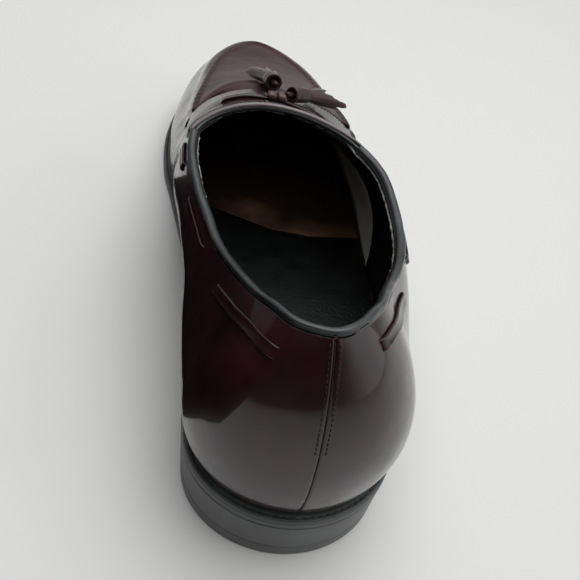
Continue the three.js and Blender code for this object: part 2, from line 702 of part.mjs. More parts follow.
// The cutter of a slot across a lace, at one end of its run.
function slot(k, next) {
  const along = next.p.clone().sub(k.p);
  along.addScaledVector(k.n, -along.dot(k.n)).normalize();
  const across = k.n.clone().cross(along);
  const depth = 2 * (k.lift + 2 * WALL);
  const box = new THREE.BoxGeometry(SLOT_REACH, LACE_WIDTH + 2 * SLOT_MARGIN, depth);
  const turn = new THREE.Matrix4().makeBasis(along, across, k.n).setPosition(k.p);
  return box.applyMatrix4(turn);
}

// Places along a run at its drop below the collar.
const RUN_PLACES = 6;
function runPoints({ side, from, to, drop }) {
  const across = (at) => side * (1 - reach(at, side, drop));
  return places(RUN_PLACES, from, to).map((share) => {
    const at = zeroOf((k) => last(k, across(k)).y - share * COLLAR_LENGTH, 0, THROAT);
    return { p: last(at, across(at)), n: normal(at, across(at)), lift: 0 };
  });
}

const overSaddle = (x, y) => {
  const { at, u } = under(x, y);
  return { p: last(at, u), n: normal(at, u), lift: GAP + OVERLAY };
};

const endPoints = (rows) => rows.map(({ x, y }) => overSaddle(KNOT_AT.x + x, KNOT_AT.y + y));

function knot() {
  const { length, width, height, round, bevel } = KNOT;
  const [a, b] = [length / 2 - round, width / 2 - round];
  const quarter = Math.PI / 2;
  const shape = new THREE.Shape();
  shape.absarc(a, b, round, 0, quarter);
  shape.absarc(-a, b, round, quarter, 2 * quarter);
  shape.absarc(-a, -b, round, 2 * quarter, 3 * quarter);
  shape.absarc(a, -b, round, 3 * quarter, 4 * quarter);
  const block = new THREE.ExtrudeGeometry(shape, {
    depth: height - 2 * bevel,
    bevelThickness: bevel,
    bevelSize: bevel,
    bevelOffset: -bevel,
    bevelSegments: 2,
    curveSegments: 3,
  });
  const { p, n, lift } = overSaddle(KNOT_AT.x, KNOT_AT.y);
  const x = V(1, 0, 0).addScaledVector(n, -n.x).normalize();
  const turn = new THREE.Matrix4().makeBasis(x, n.clone().cross(x), n);
  turn.setPosition(p.clone().addScaledVector(n, lift + GAP + bevel));
  return closed(block.applyMatrix4(turn));
}

// A tassel: a rolled head with an open mouth that its stem enters, and strips that spread from the other end.
function tassel({ mouth, tip, stem }) {
  const { radius, length, hollow, mouth: open, lip, sides } = HEAD;
  const profile = [
    [0, hollow],
    [open, hollow],
    [open, 0],
    [radius - lip, 0],
    [radius, lip],
    [radius, length - lip],
    [radius - lip, length],
    [0, length],
  ];
  const head = new THREE.LatheGeometry(profile.map(([r, y]) => new THREE.Vector2(r, y)), sides);
  const reachIn = hollow + lip;
  const rod = new THREE.CylinderGeometry(STEM.radius, STEM.radius, stem + reachIn, STEM.sides);
  rod.translate(0, (reachIn - stem) / 2, 0);
  const half = STRIP.width / 2;
  const shape = new THREE.Shape();
  shape.moveTo(-half, 0);
  shape.lineTo(half, 0);
  shape.absarc(0, STRIP.length - half, half, 0, Math.PI);
  const strips = places(STRIP.count - 1, 0.5, STRIP.count - 0.5).map((k) => {
    const turn = (2 * Math.PI * k) / STRIP.count;
    const strip = new THREE.ExtrudeGeometry(shape, { depth: STRIP.thick, bevelEnabled: false, curveSegments: 4 });
    strip.translate(0, -STRIP.sunk, -STRIP.thick / 2);
    strip.rotateX(Math.sin(turn) * STRIP.droop);
    strip.rotateZ(-Math.cos(turn) * STRIP.fan);
    return strip.translate(Math.cos(turn) * STRIP.ring, length, Math.sin(turn) * STRIP.ring);
  });
  const solid = [rod, ...strips].reduce((sum, k) => sum.add(solidOf(closed(k))), solidOf(closed(head)));
  const rest = GAP + OVERLAY + GAP + radius;
  const at = ({ x, y, rise }) => spot(KNOT_AT.x + x, KNOT_AT.y + y, rest + rise);
  const start = at(mouth);
  const axis = at(tip).sub(start).normalize();
  const place = under(KNOT_AT.x + mouth.x, KNOT_AT.y + mouth.y);
  const up = normal(place.at, place.u);
  up.addScaledVector(axis, -up.dot(axis)).normalize();
  const turn = new THREE.Matrix4().makeBasis(axis.clone().cross(up), axis, up).setPosition(start);
  return geometryOf(solid).applyMatrix4(turn);
}

// The shoe

const FINISH = {
  rubber: { color: 0x2b2c2b, roughness: 0.5, metalness: 0 },
  burgundy: { color: 0x3a1419, roughness: 0.22, metalness: 0 },
  apron: { color: 0x5b3a3d, roughness: 0.3, metalness: 0 },
  binding: { color: 0x1f1e20, roughness: 0.55, metalness: 0 },
  insole: { color: 0xa8845a, roughness: 0.7, metalness: 0 },
  sock: { color: 0x1a1a1b, roughness: 0.6, metalness: 0 },
  lace: { color: 0x35161a, roughness: 0.35, metalness: 0 },
};

function piece(name, geometry, finish) {
  geometry.computeVertexNormals();
  const mesh = new THREE.Mesh(geometry, new THREE.MeshStandardMaterial(FINISH[finish]));
  mesh.name = name;
  return mesh;
}

const runs = LACE_RUNS.map((run) => ({ name: run.name, points: runPoints(run) }));
const [innerEnd, outerEnd] = [endPoints(INNER_END), endPoints(OUTER_END)];
const runSlots = runs.flatMap(({ points }) => [slot(points[0], points[1]), slot(points.at(-1), points.at(-2))]);
const frontSlots = [slot(innerEnd[0], innerEnd[1]), slot(outerEnd.at(-1), outerEnd.at(-2))];

const shoe = new THREE.Group();
shoe.position.y = -HEEL_LENGTH / 2;
shoe.add(
  piece("heel_block", heelBlock(), "rubber"),
  piece("outsole", outsole(), "rubber"),
  piece("insole", insole(), "insole"),
  piece("heel_sock", sock(), "sock"),
  piece("upper", cut(upper(), [...runSlots, ...frontSlots]), "burgundy"),
  piece("apron", apron(), "apron"),
  piece("saddle", cut(saddle(), frontSlots), "burgundy"),
  piece("collar_binding", binding(), "binding"),
  ...runs.map(({ name, points }) => piece(name, lace(points, { first: true, last: true }), "lace")),
  piece("lace_end_inner", lace(innerEnd, { first: true, last: false }), "lace"),
  piece("lace_end_outer", lace(outerEnd, { first: false, last: true }), "lace"),
  piece("lace_knot", knot(), "lace"),
  ...TASSELS.map((row) => piece(row.name, tassel(row), "lace")),
);

const part = new THREE.Group();
part.add(shoe);

export default part;
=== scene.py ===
"""A polished burgundy tassel loafer for the right foot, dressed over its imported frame.

Lengths are in millimetres in the shoe's own frame, y from the back of the sole, until `to_frame` lays them in
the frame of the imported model.
"""
import logging
import math
from dataclasses import dataclass, field
from enum import Enum
from typing import Callable, Iterable, NamedTuple, Sequence

import bmesh
import bpy
from mathutils import Matrix, Vector, noise


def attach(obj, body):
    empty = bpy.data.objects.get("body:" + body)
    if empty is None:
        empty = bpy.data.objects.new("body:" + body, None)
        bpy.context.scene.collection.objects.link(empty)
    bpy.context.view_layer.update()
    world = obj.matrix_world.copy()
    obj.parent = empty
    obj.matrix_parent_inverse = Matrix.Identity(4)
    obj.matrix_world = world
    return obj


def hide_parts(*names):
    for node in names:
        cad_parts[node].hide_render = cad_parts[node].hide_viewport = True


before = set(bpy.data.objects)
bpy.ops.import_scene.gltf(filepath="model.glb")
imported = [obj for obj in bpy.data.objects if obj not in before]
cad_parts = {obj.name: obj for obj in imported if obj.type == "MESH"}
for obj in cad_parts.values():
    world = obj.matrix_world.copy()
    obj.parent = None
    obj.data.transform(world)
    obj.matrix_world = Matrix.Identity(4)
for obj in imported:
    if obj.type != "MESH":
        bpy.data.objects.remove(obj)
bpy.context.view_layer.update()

MM = 0.001
BODY = "root"
log = logging.getLogger("tassel_loafer")


class Side(Enum):
    """The two sides of the shoe, as the sign of x."""

    INNER = -1
    OUTER = 1


SIDES = (Side.INNER.value, Side.OUTER.value)


class PlanRow(NamedTuple):
    """A row of the sole's plan: a share of the length, then shares of the ball width."""

    at: float
    middle: float
    half: float


class RibRow(NamedTuple):
    """A rib of the last: how the wall swells and how full the top stays, on the inner and the outer side."""

    at: float
    belly_in: float
    belly_out: float
    rise: float
    crown_in: float
    crown_out: float


class RidgeRow(NamedTuple):
    """A place on the last's ridge: shares of the length, the instep height and the ball width."""

    at: float
    height: float
    aside: float


class EdgeRow(NamedTuple):
    """A place on a line from the side: where it is, and how far it has risen."""

    at: float
    lift: float


PLAN = (
    PlanRow(0.0, -0.008, 0.361), PlanRow(0.13, 0.0, 0.368), PlanRow(0.23, 0.03, 0.391),
    PlanRow(0.33, 0.066, 0.404), PlanRow(0.43, 0.083, 0.426), PlanRow(0.53, 0.083, 0.456),
    PlanRow(0.62, 0.074, 0.485), PlanRow(0.69, 0.055, 0.5), PlanRow(0.76, 0.044, 0.495),
    PlanRow(0.84, 0.035, 0.479), PlanRow(0.92, 0.025, 0.465), PlanRow(1.0, 0.012, 0.4),
)
RIBS = (
    RibRow(0.0, 0.115, 0.115, 0.43, 0.6, 0.6), RibRow(0.03, 0.14, 0.13, 0.43, 0.82, 0.66),
    RibRow(0.07, 0.17, 0.15, 0.43, 0.6, 0.6), RibRow(0.14, 0.195, 0.155, 0.44, 0.25, 0.48),
    RibRow(0.21, 0.22, 0.16, 0.46, 0.04, 0.46), RibRow(0.28, 0.245, 0.145, 0.48, 0.05, 0.49),
    RibRow(0.35, 0.265, 0.11, 0.5, 0.36, 0.54), RibRow(0.43, 0.255, 0.07, 0.54, 0.74, 0.53),
    RibRow(0.5, 0.215, 0.05, 0.56, 1.02, 0.44), RibRow(0.56, 0.15, 0.04, 0.53, 0.98, 0.52),
    RibRow(0.64, 0.075, 0.035, 0.48, 0.8, 0.68), RibRow(0.76, 0.022, 0.015, 0.48, 0.68, 0.73),
    RibRow(0.88, 0.025, 0.06, 0.52, 0.7, 0.78), RibRow(1.0, 0.085, 0.085, 0.65, 0.75, 0.75),
)
RIDGE = (
    RidgeRow(0.0, 1.27, -0.01), RidgeRow(0.13, 1.25, -0.01), RidgeRow(0.24, 1.29, -0.012),
    RidgeRow(0.33, 1.38, -0.025), RidgeRow(0.43, 1.38, -0.05), RidgeRow(0.485, 1.22, -0.07),
    RidgeRow(0.533, 1.0, -0.075), RidgeRow(0.58, 0.93, -0.07), RidgeRow(0.64, 0.85, -0.06),
    RidgeRow(0.71, 0.745, -0.045), RidgeRow(0.79, 0.636, -0.025), RidgeRow(0.86, 0.56, -0.005),
    RidgeRow(0.92, 0.522, 0.012), RidgeRow(1.0, 0.47, 0.012),
)
COLLAR = (
    EdgeRow(0.0, 1.02), EdgeRow(0.11, 1.0), EdgeRow(0.19, 0.87), EdgeRow(0.25, 0.69), EdgeRow(0.31, 0.5),
    EdgeRow(0.37, 0.33), EdgeRow(0.44, 0.18), EdgeRow(0.53, 0.07), EdgeRow(0.63, 0.02), EdgeRow(0.75, 0.02),
    EdgeRow(0.86, 0.05), EdgeRow(0.93, 0.12), EdgeRow(0.97, 0.24), EdgeRow(1.0, 0.4), EdgeRow(1.1, 0.9),
    EdgeRow(2.0, 6.0),
)
SEAM = (
    EdgeRow(0.4, 0.54), EdgeRow(0.5, 0.52), EdgeRow(0.6, 0.52), EdgeRow(0.75, 0.615), EdgeRow(0.88, 0.665),
    EdgeRow(0.95, 0.69), EdgeRow(1.0, 0.76),
)


def clamp(value: float, low: float = 0.0, high: float = 1.0) -> float:
    """The value, kept between two limits."""
    return max(low, min(high, value))


def mix(a: float, b: float, share: float) -> float:
    """The number a share of the way from a to b."""
    return a + (b - a) * share


def smooth_step(low: float, high: float, value: float) -> float:
    """A soft step from 0 at `low` to 1 at `high`."""
    share = clamp((value - low) / (high - low))
    return share * share * (3 - 2 * share)


def bell(value: float, width: float) -> float:
    """A soft hump of height 1 round zero."""
    return math.exp(-((value / width) ** 2))


def slow_start(share: float) -> float:
    """Crowds places towards the first."""
    return 1 - math.cos(math.pi / 2 * share)


def slow_end(share: float) -> float:
    """Crowds places towards the last."""
    return math.sin(math.pi / 2 * share)


def brake(share: float) -> float:
    """Crowds places hard towards the last."""
    return 1 - (1 - share) ** 2


def even(share: float) -> float:
    """Leaves places evenly spaced."""
    return share


def spread(count: int, start: float, end: float, ease: Callable[[float], float] = even) -> list[float]:
    """Places between two ends.

    Args:
        count: Number of steps.
        start: First place.
        end: Last place.
        ease: How the places crowd.

    Returns:
        count + 1 places.
    """
    return [mix(start, end, ease(i / count)) for i in range(count + 1)]


def sample(table: Sequence[NamedTuple], column: str, at: float) -> float:
    """A smooth column of a table at a place between its rows.

    Args:
        table: Rows with an `at` column, in order.
        column: Name of the column to read.
        at: The place.

    Returns:
        The column's value there.
    """
    last = len(table) - 1
    i = 0
    while i < last - 1 and table[i + 1].at < at:
        i += 1
    a, b = table[i], table[i + 1]

    def slope(k: int) -> float:
        """The table's slope at a row."""
        p, n = table[max(k - 1, 0)], table[min(k + 1, last)]
        return (getattr(n, column) - getattr(p, column)) / (n.at - p.at)

    span = b.at - a.at
    u = clamp((at - a.at) / span)
    fall = (1 + 2 * u) * (1 - u) ** 2
    bend = slope(i) * u * (1 - u) ** 2 - slope(i + 1) * u * u * (1 - u)
    return getattr(a, column) * fall + getattr(b, column) * (1 - fall) + bend * span


def zero_of(f: Callable[[float], float], start: float, end: float) -> float:
    """The zero of a rising or falling function between two places.

    Args:
        f: The function.
        start: First place.
        end: Last place.

    Returns:
        The place where it is zero.
    """
    rising = f(end) > f(start)
    a, b = start, end
    for _ in range(40):
        m = (a + b) / 2
        if (f(m) > 0) == rising:
            b = m
        else:
            a = m
    return (a + b) / 2


Frame = tuple[Vector, Vector, Vector]  # a point and two directions across the way on


def calm(before: Vector, here: Vector, after: Vector) -> Vector:
    """A point drawn gently towards its neighbours."""
    return before * 0.25 + here * 0.5 + after * 0.25


def evenly(
    line: Sequence[Vector], out: Sequence[Vector], pace: float, looped: bool
) -> tuple[list[Vector], list[Vector]]:
    """Lays points evenly along a line.

    Args:
        line: The line's points.
        out: A direction at each of them.
        pace: Roughly the distance between the new points.
        looped: Whether the last point meets the first.

    Returns:
        The new points and the directions at them.
    """
    points = list(line) + ([line[0]] if looped else [])
    ways = list(out) + ([out[0]] if looped else [])
    marks = [0.0]
    for a, b in zip(points, points[1:]):
        marks.append(marks[-1] + (b - a).length)
    steps = round(marks[-1] / pace)
    laid, turned, i = [], [], 0
    for k in range(steps if looped else steps + 1):
        goal = marks[-1] * k / steps
        while i < len(marks) - 2 and marks[i + 1] < goal:
            i += 1
        share = clamp((goal - marks[i]) / max(marks[i + 1] - marks[i], 1e-9))
        laid.append(points[i].lerp(points[i + 1], share))
        turned.append(ways[i].lerp(ways[i + 1], share).normalized())
    return laid, turned


@dataclass
class Last:
    """The form that the shoe is made on, with the sole's outline and the lines cut into the upper."""

    length: float = 302.0
    ball_width: float = 102.0
    heel_round: float = 34.0
    toe_round: float = 76.0
    heel_height: float = 18.5
    heel_length: float = 68.0
    outsole_thick: float = 4.6
    flat_start: float = 183.0
    flat_end: float = 212.0
    toe_spring: float = 10.0
    welt: float = 2.8
    wall: float = 2.2
    back_height: float = 91.0
    side_height: float = 67.0
    instep_height: float = 76.5
    collar_length: float = 161.0
    collar_skew: float = 0.1
    ridge_back: float = 30.0
    ridge_front: float = 28.0
    saddle_length: float = 23.0
    gap: float = 0.3
    overlay: float = 1.1
    step: float = 0.004
    ribs: dict = field(default_factory=dict, repr=False)
    edges: dict = field(default_factory=dict, repr=False)

    def __post_init__(self) -> None:
        """Works out the throat, the saddle's front edge and the corners of the collar."""
        self.ridge_length = self.length - self.ridge_front - self.ridge_back
        self.throat = zero_of(lambda at: self.ridge_of(at).z - self.collar_height(self.ridge_of(at)), 0.4, 0.7)
        self.saddle_end = self.throat + self.saddle_length / self.ridge_length
        self.corner = {
            side: zero_of(lambda at: self.reach(at, side) - self.seam_low(at), self.throat / 2, self.throat)
            for side in SIDES
        }

    def sole_line(self, y: float) -> float:
        """Height of the outsole's underside: down the shank, flat at the ball, up at the toe.

        Args:
            y: Distance from the back of the sole.

        Returns:
            The height.
        """
        shank = clamp((y - self.heel_length) / (self.flat_start - self.heel_length))
        lift = max(y - self.flat_end, 0) / (self.length - self.flat_end)
        return (self.heel_height + self.gap) * (1 + math.cos(math.pi * shank)) / 2 + self.toe_spring * lift**1.8

    def top(self, y: float) -> float:
        """Height of the outsole's upper face."""
        return self.sole_line(y) + self.outsole_thick

    def plain_rim(self, at: float, side: int) -> Vector:
        """A point on the outsole's outline.

        Args:
            at: Share of the way along the last.
            side: -1 for the inner side, 1 for the outer.

        Returns:
            The point, at height zero.
        """
        y = at * self.length
        back = max(1 - y / self.heel_round, 0)
        front = max(1 - (self.length - y) / self.toe_round, 0)
        rounding = math.sqrt(max(1 - back * back, 0)) * math.sqrt(max(1 - front * front, 0))
        half = sample(PLAN, "half", at) * self.ball_width * rounding
        return Vector((sample(PLAN, "middle", at) * self.ball_width + side * half, y, 0))

    def outward(self, at: float, side: int) -> Vector:
        """Outward direction of the outline in plan.

        Args:
            at: Share of the way along the last.
            side: -1 for the inner side, 1 for the outer.

        Returns:
            A level direction.
        """
        if at <= 0:
            return Vector((0, -1, 0))
        if at >= 1:
            return Vector((0, 1, 0))
        step = min(0.002, at / 2, (1 - at) / 2)
        along = self.plain_rim(at + step, side) - self.plain_rim(at - step, side)
        return Vector((along.y * side, -along.x * side, 0)).normalized()

    def rim(self, at: float, side: int, inset: float = 0.0) -> Vector:
        """A point inside the outline by an inset."""
        return self.plain_rim(at, side) - self.outward(at, side) * inset

    def ridge_height(self, y: float) -> float:
        """Height of the last's ridge."""
        return sample(RIDGE, "height", y / self.length) * self.instep_height

    def ridge_slope(self, y: float) -> float:
        """Slope of the last's ridge."""
        return (self.ridge_height(y + 1) - self.ridge_height(y - 1)) / 2

    def ridge_of(self, at: float) -> Vector:
        """The point where a rib meets the ridge."""
        y = self.ridge_back + at * self.ridge_length
        return Vector((sample(RIDGE, "aside", y / self.length) * self.ball_width, y, self.ridge_height(y)))

    def rib(self, at: float, side: int) -> tuple[Vector, Vector, Vector, Vector]:
        """The four points that bend a rib on one side, from the sole to the ridge.

        Args:
            at: Share of the way along the last.
            side: -1 for the inner side, 1 for the outer.

        Returns:
            Foot, swell, crown and ridge.
        """
        key = (round(at, 8), side)
        if key not in self.ribs:
            foot = self.rim(at, side, self.welt)
            foot.z = self.top(foot.y) + self.gap
            ridge = self.ridge_of(at)
            name = "in" if side < 0 else "out"
            swell = foot + self.outward(at, side) * (sample(RIBS, f"belly_{name}", at) * self.ball_width)
            swell.z += sample(RIBS, "rise", at) * (ridge.z - foot.z)
            crown = ridge.lerp(foot, sample(RIBS, f"crown_{name}", at))
            crown.z = ridge.z + self.ridge_slope(ridge.y) * (crown.y - ridge.y)
            self.ribs[key] = (foot, swell, crown, ridge)
        return self.ribs[key]

    def point(self, at: float, u: float) -> Vector:
        """A point of the last: u is -1 at the inner feather edge, 0 on the ridge and 1 at the outer one.

        Args:
            at: Share of the way along the last.
            u: Place across the last.

        Returns:
            The point.
        """
        a, b, c, d = self.rib(at, -1 if u < 0 else 1)
        t = 1 - abs(u)
        s = abs(u)
        return a * s**3 + b * (3 * s * s * t) + c * (3 * s * t * t) + d * t**3

    def normal(self, at: float, u: float) -> Vector:
        """Outward direction of the last's surface.

        Args:
            at: Share of the way along the last.
            u: Place across the last.

        Returns:
            The direction.
        """
        step = self.step
        if abs(u) < step:
            return Vector((0, -self.ridge_slope(self.ridge_of(at).y), 1)).normalized()
        across = self.point(at, clamp(u + step, -1, 1)) - self.point(at, clamp(u - step, -1, 1))
        along = self.point(min(at + step, 1), u) - self.point(max(at - step, 0), u)
        if at < step:
            along = self.point(step, u) - self.point(step, -u)
        if at > 1 - step:
            along = self.point(1 - step, -u) - self.point(1 - step, u)
        return across.cross(along).normalized()

    def lifted(self, at: float, u: float, lift: float) -> Vector:
        """A point above the last's surface."""
        return self.point(at, u) + self.normal(at, u) * lift

    def under(self, x: float, y: float) -> tuple[float, float]:
        """The rib and its share that lie under a point in plan.

        Args:
            x: Place across the shoe.
            y: Place along the shoe.

        Returns:
            Share along the last, and place across it.
        """
        at, u = y / self.length, x / self.ball_width
        for _ in range(60):
            p = self.point(at, u)
            at = clamp(at + (y - p.y) / self.length)
            u = clamp(u + (x - p.x) / self.ball_width, -1, 1)
        return at, u

    def collar_height(self, p: Vector) -> float:
        """Height of the collar's edge beside a point.

        Args:
            p: The point.

        Returns:
            The height.
        """
        along = p.y / self.collar_length
        skew = self.collar_skew * p.x * along * along / self.collar_length
        return mix(self.side_height, self.back_height, sample(COLLAR, "lift", along + skew))

    def reach(self, at: float, side: int, drop: float = 0.0) -> float:
        """How far up a rib the collar's edge lies, less a drop: 1 where the rib reaches the ridge first.

        Args:
            at: Share of the way along the last.
            side: -1 for the inner side, 1 for the outer.
            drop: How far below the edge.

        Returns:
            Share of the way up the rib.
        """
        if hasattr(self, "throat") and at >= self.throat:
            return 1.0
        key = (round(at, 8), side, drop)
        if key not in self.edges:

            def above(t: float) -> float:
                """Height of the rib over the line."""
                p = self.point(at, side * (1 - t))
                return p.z - self.collar_height(p) + drop

            t = 0.2
            while t < 1 and above(t) < 0:
                t += 0.02
            self.edges[key] = 1.0 if t >= 1 else zero_of(above, t - 0.02, t)
        return self.edges[key]

    def seam_low(self, at: float) -> float:
        """How far up a rib the seam of apron and saddle lies."""
        return sample(SEAM, "lift", at)

    def wall_top(self, at: float, side: int) -> float:
        """How far up a rib the side wall goes: to the collar, or to the seam."""
        return self.reach(at, side) if at <= self.corner[side] else self.seam_low(at)

    def edge_line(
        self, places: Sequence[tuple[int, float]], pace: float = 0.0, looped: bool = False
    ) -> list[Frame]:
        """The collar's edge through places in order, freed of small kinks.

        Args:
            places: Side and rib of each place.
            pace: Millimetres between the places given back, or 0 to keep the given ones.
            looped: Whether the last place meets the first.

        Returns:
            Point, outward direction and direction off the edge, at each place.
        """
        line = [self.point(at, side * (1 - self.reach(at, side))) for side, at in places]
        out = [self.normal(at, side * (1 - self.reach(at, side))) for side, at in places]
        if pace:
            line, out = evenly(line, out, pace, looped)
        count = len(line)

        def beside(i: int) -> tuple[int, int]:
            """The places before and after one."""
            return ((i - 1) % count, (i + 1) % count) if looped else (max(i - 1, 0), min(i + 1, count - 1))

        for _ in range(4):
            trios = [(beside(i)[0], i, beside(i)[1]) for i in range(count)]
            line = [line[i] if i in (a, b) else calm(line[a], line[i], line[b]) for a, i, b in trios]
            out = [calm(out[a], out[i], out[b]).normalized() for a, i, b in trios]
        frames = []
        for i in range(count):
            before, after = beside(i)
            off = out[i].cross(line[after] - line[before]).normalized()
            frames.append((line[i], out[i], off if off.z > 0 or off.y < -0.5 else -off))
        return frames

    def seam_station(self, distance: float) -> float:
        """The rib that leaves the back seam by a sideways distance."""
        half = PLAN[0].half * self.ball_width
        return self.heel_round * (1 - math.sqrt(1 - (distance / half) ** 2)) / self.length


LAST = Last()


def to_frame(p: Vector) -> Vector:
    """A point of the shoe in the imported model's frame, in metres."""
    return Vector((p.x, p.y - LAST.heel_length / 2, p.z)) * MM


def unlike(values: Iterable[float]) -> list[float]:
    """Places in order, each kept once.

    Args:
        values: The places.

    Returns:
        The places in order.
    """
    kept: list[float] = []
    for value in sorted(values):
        if not kept or value - kept[-1] > 1e-6:
            kept.append(value)
    return kept


def laid_grid(bm: bmesh.types.BMesh, columns: int, rows: int, place: Callable[[int, int], Vector]) -> None:
    """Adds a grid of quads and lays each corner on the shoe.

    Args:
        bm: The mesh to add to.
        columns: Steps along the grid.
        rows: Steps across it.
        place: The corner's place from its column and row.
    """
    made = bmesh.ops.create_grid(bm, x_segments=columns, y_segments=rows, size=0.5)
    for v in made["verts"]:
        v.co = to_frame(place(round((v.co.x + 0.5) * columns), round((v.co.y + 0.5) * rows)))


def weld(bm: bmesh.types.BMesh, distance: float = 0.004) -> None:
    """Joins corners that lie together and drops faces without area.

    Args:
        bm: The mesh.
        distance: How close corners are joined, in millimetres.
    """
    bmesh.ops.remove_doubles(bm, verts=bm.verts, dist=distance * MM)
    bmesh.ops.dissolve_degenerate(bm, dist=distance * MM, edges=bm.edges)
    loose = [v for v in bm.verts if not v.link_faces]
    bmesh.ops.delete(bm, geom=loose, context="VERTS")


def face_away(bm: bmesh.types.BMesh, inside: Vector) -> None:
    """Turns an open sheet's faces away from a point inside the shoe.

    Args:
        bm: The sheet.
        inside: The point.
    """
    heart = to_frame(inside)
    bm.normal_update()
    if sum(f.normal.dot(f.calc_center_median() - heart) * f.calc_area() for f in bm.faces) < 0:
        bmesh.ops.reverse_faces(bm, faces=bm.faces)


def sweep(
    bm: bmesh.types.BMesh,
    frames: Sequence[tuple[Vector, Vector, Vector]],
    ring: Callable[[int], Sequence[tuple[float, float]]],
    looped: bool = False,
) -> None:
    """Adds a closed solid that carries a section along frames.

    Args:
        bm: The mesh to add to.
        frames: Centre, first and second direction of the section at each step.
        ring: The section's points at a step, in millimetres.
        looped: Whether the last frame joins the first.
    """
    part = bmesh.new()
    count = len(frames)
    sides = len(ring(0))
    steps = count if looped else count - 1

    def place(i: int, j: int) -> Vector:
        """A corner of the swept skin.

        Args:
            i: Step along the sweep.
            j: Point of the section.

        Returns:
            The corner.
        """
        centre, first, second = frames[i % count]
        a, b = ring(i % count)[j % sides]
        return centre + first * a + second * b

    laid_grid(part, steps, sides, place)
    bmesh.ops.remove_doubles(part, verts=part.verts, dist=0.0005 * MM)
    if not looped:
        ends = [e for e in part.edges if e.is_boundary]
        bmesh.ops.holes_fill(part, edges=ends, sides=0)
    bmesh.ops.recalc_face_normals(part, faces=part.faces)
    mesh = bpy.data.meshes.new("swept")
    part.to_mesh(mesh)
    part.free()
    bm.from_mesh(mesh)
    bpy.data.meshes.remove(mesh)


def round_section(radius: float, sides: int) -> list[tuple[float, float]]:
    """A round section."""
    turns = [2 * math.pi * i / sides for i in range(sides)]
    return [(math.cos(a) * radius, math.sin(a) * radius) for a in turns]


def strap_section(width: float, thick: float, edge: float = 0.12) -> list[tuple[float, float]]:
    """A flat strap's section: thin, with rounded edges that stand a little proud.

    Args:
        width: Width of the strap.
        thick: Its thickness.
        edge: How proud its edges stand.

    Returns:
        The section's points.
    """
    w, t = width / 2, thick / 2
    return [
        (-w, 0), (-w + t * 0.35, t * 0.8 + edge), (-w + t * 1.1, t + edge), (-w + t * 2, t), (0, t),
        (w - t * 2, t), (w - t * 1.1, t + edge), (w - t * 0.35, t * 0.8 + edge), (w, 0),
        (w - t * 0.5, -t), (0, -t), (-w + t * 0.5, -t),
    ]


def thread(bm: bmesh.types.BMesh, points: Sequence[Vector], radius: float, up: Vector, sides: int = 6) -> None:
    """Adds a short length of thread through points.

    Args:
        bm: The mesh to add to.
        points: The thread's centre line.
        radius: Its radius.
        up: Roughly upwards from what it lies on.
        sides: Sides of its section.
    """
    frames = []
    for i, p in enumerate(points):
        along = (points[min(i + 1, len(points) - 1)] - points[max(i - 1, 0)]).normalized()
        across = along.cross(up).normalized()
        frames.append((p, across, across.cross(along)))
    last = len(points) - 1
    sweep(bm, frames, lambda i: round_section(radius * (0.45 if i in (0, last) else 1), sides))


def stitch_row(
    bm: bmesh.types.BMesh,
    line: Sequence[tuple[Vector, Vector]],
    pitch: float,
    radius: float,
    fill: float = 0.78,
    sunk: float = 0.0,
) -> int:
    """Adds a row of stitches along a line on the leather.

    Args:
        bm: The mesh to add to.
        line: Points with the direction off the leather.
        pitch: Length of a stitch with its hole.
        radius: Radius of the thread.
        fill: Share of the pitch that the thread shows.
        sunk: How deep the ends go in.

    Returns:
        The number of stitches.
    """
    marks = [0.0]
    for (a, _), (b, _) in zip(line, line[1:]):
        marks.append(marks[-1] + (b - a).length)

    def at(distance: float) -> tuple[Vector, Vector]:
        """The line at a distance along it.

        Args:
            distance: Distance along the line.

        Returns:
            The point and the direction off the leather.
        """
        i = 0
        while i < len(marks) - 2 and marks[i + 1] < distance:
            i += 1
        share = clamp((distance - marks[i]) / max(marks[i + 1] - marks[i], 1e-9))
        return line[i][0].lerp(line[i + 1][0], share), line[i][1].lerp(line[i + 1][1], share).normalized()

    count = int(marks[-1] / pitch)
    for k in range(count):
        start = k * pitch + pitch * (1 - fill) / 2
        steps = [at(start + pitch * fill * share) for share in (0, 0.2, 0.5, 0.8, 1)]
        lifts = (-radius - sunk, radius * 0.35, radius * 0.7, radius * 0.35, -radius - sunk)
        points = [p + n * lift for (p, n), lift in zip(steps, lifts)]
        thread(bm, points, radius, steps[2][1])
    return count


# Colours and materials


def linear(hex_value: int, alpha: float = 1.0) -> tuple[float, float, float, float]:
    """An sRGB hex colour as linear red, green, blue and alpha.

    Args:
        hex_value: The colour.
        alpha: Its alpha.

    Returns:
        The linear colour.
    """

    def channel(byte: int) -> float:
        """One channel from its byte."""
        c = byte / 255
        return c / 12.92 if c <= 0.04045 else ((c + 0.055) / 1.055) ** 2.4

    return (
        channel(hex_value >> 16 & 255),
        channel(hex_value >> 8 & 255),
        channel(hex_value & 255),
        alpha,
    )


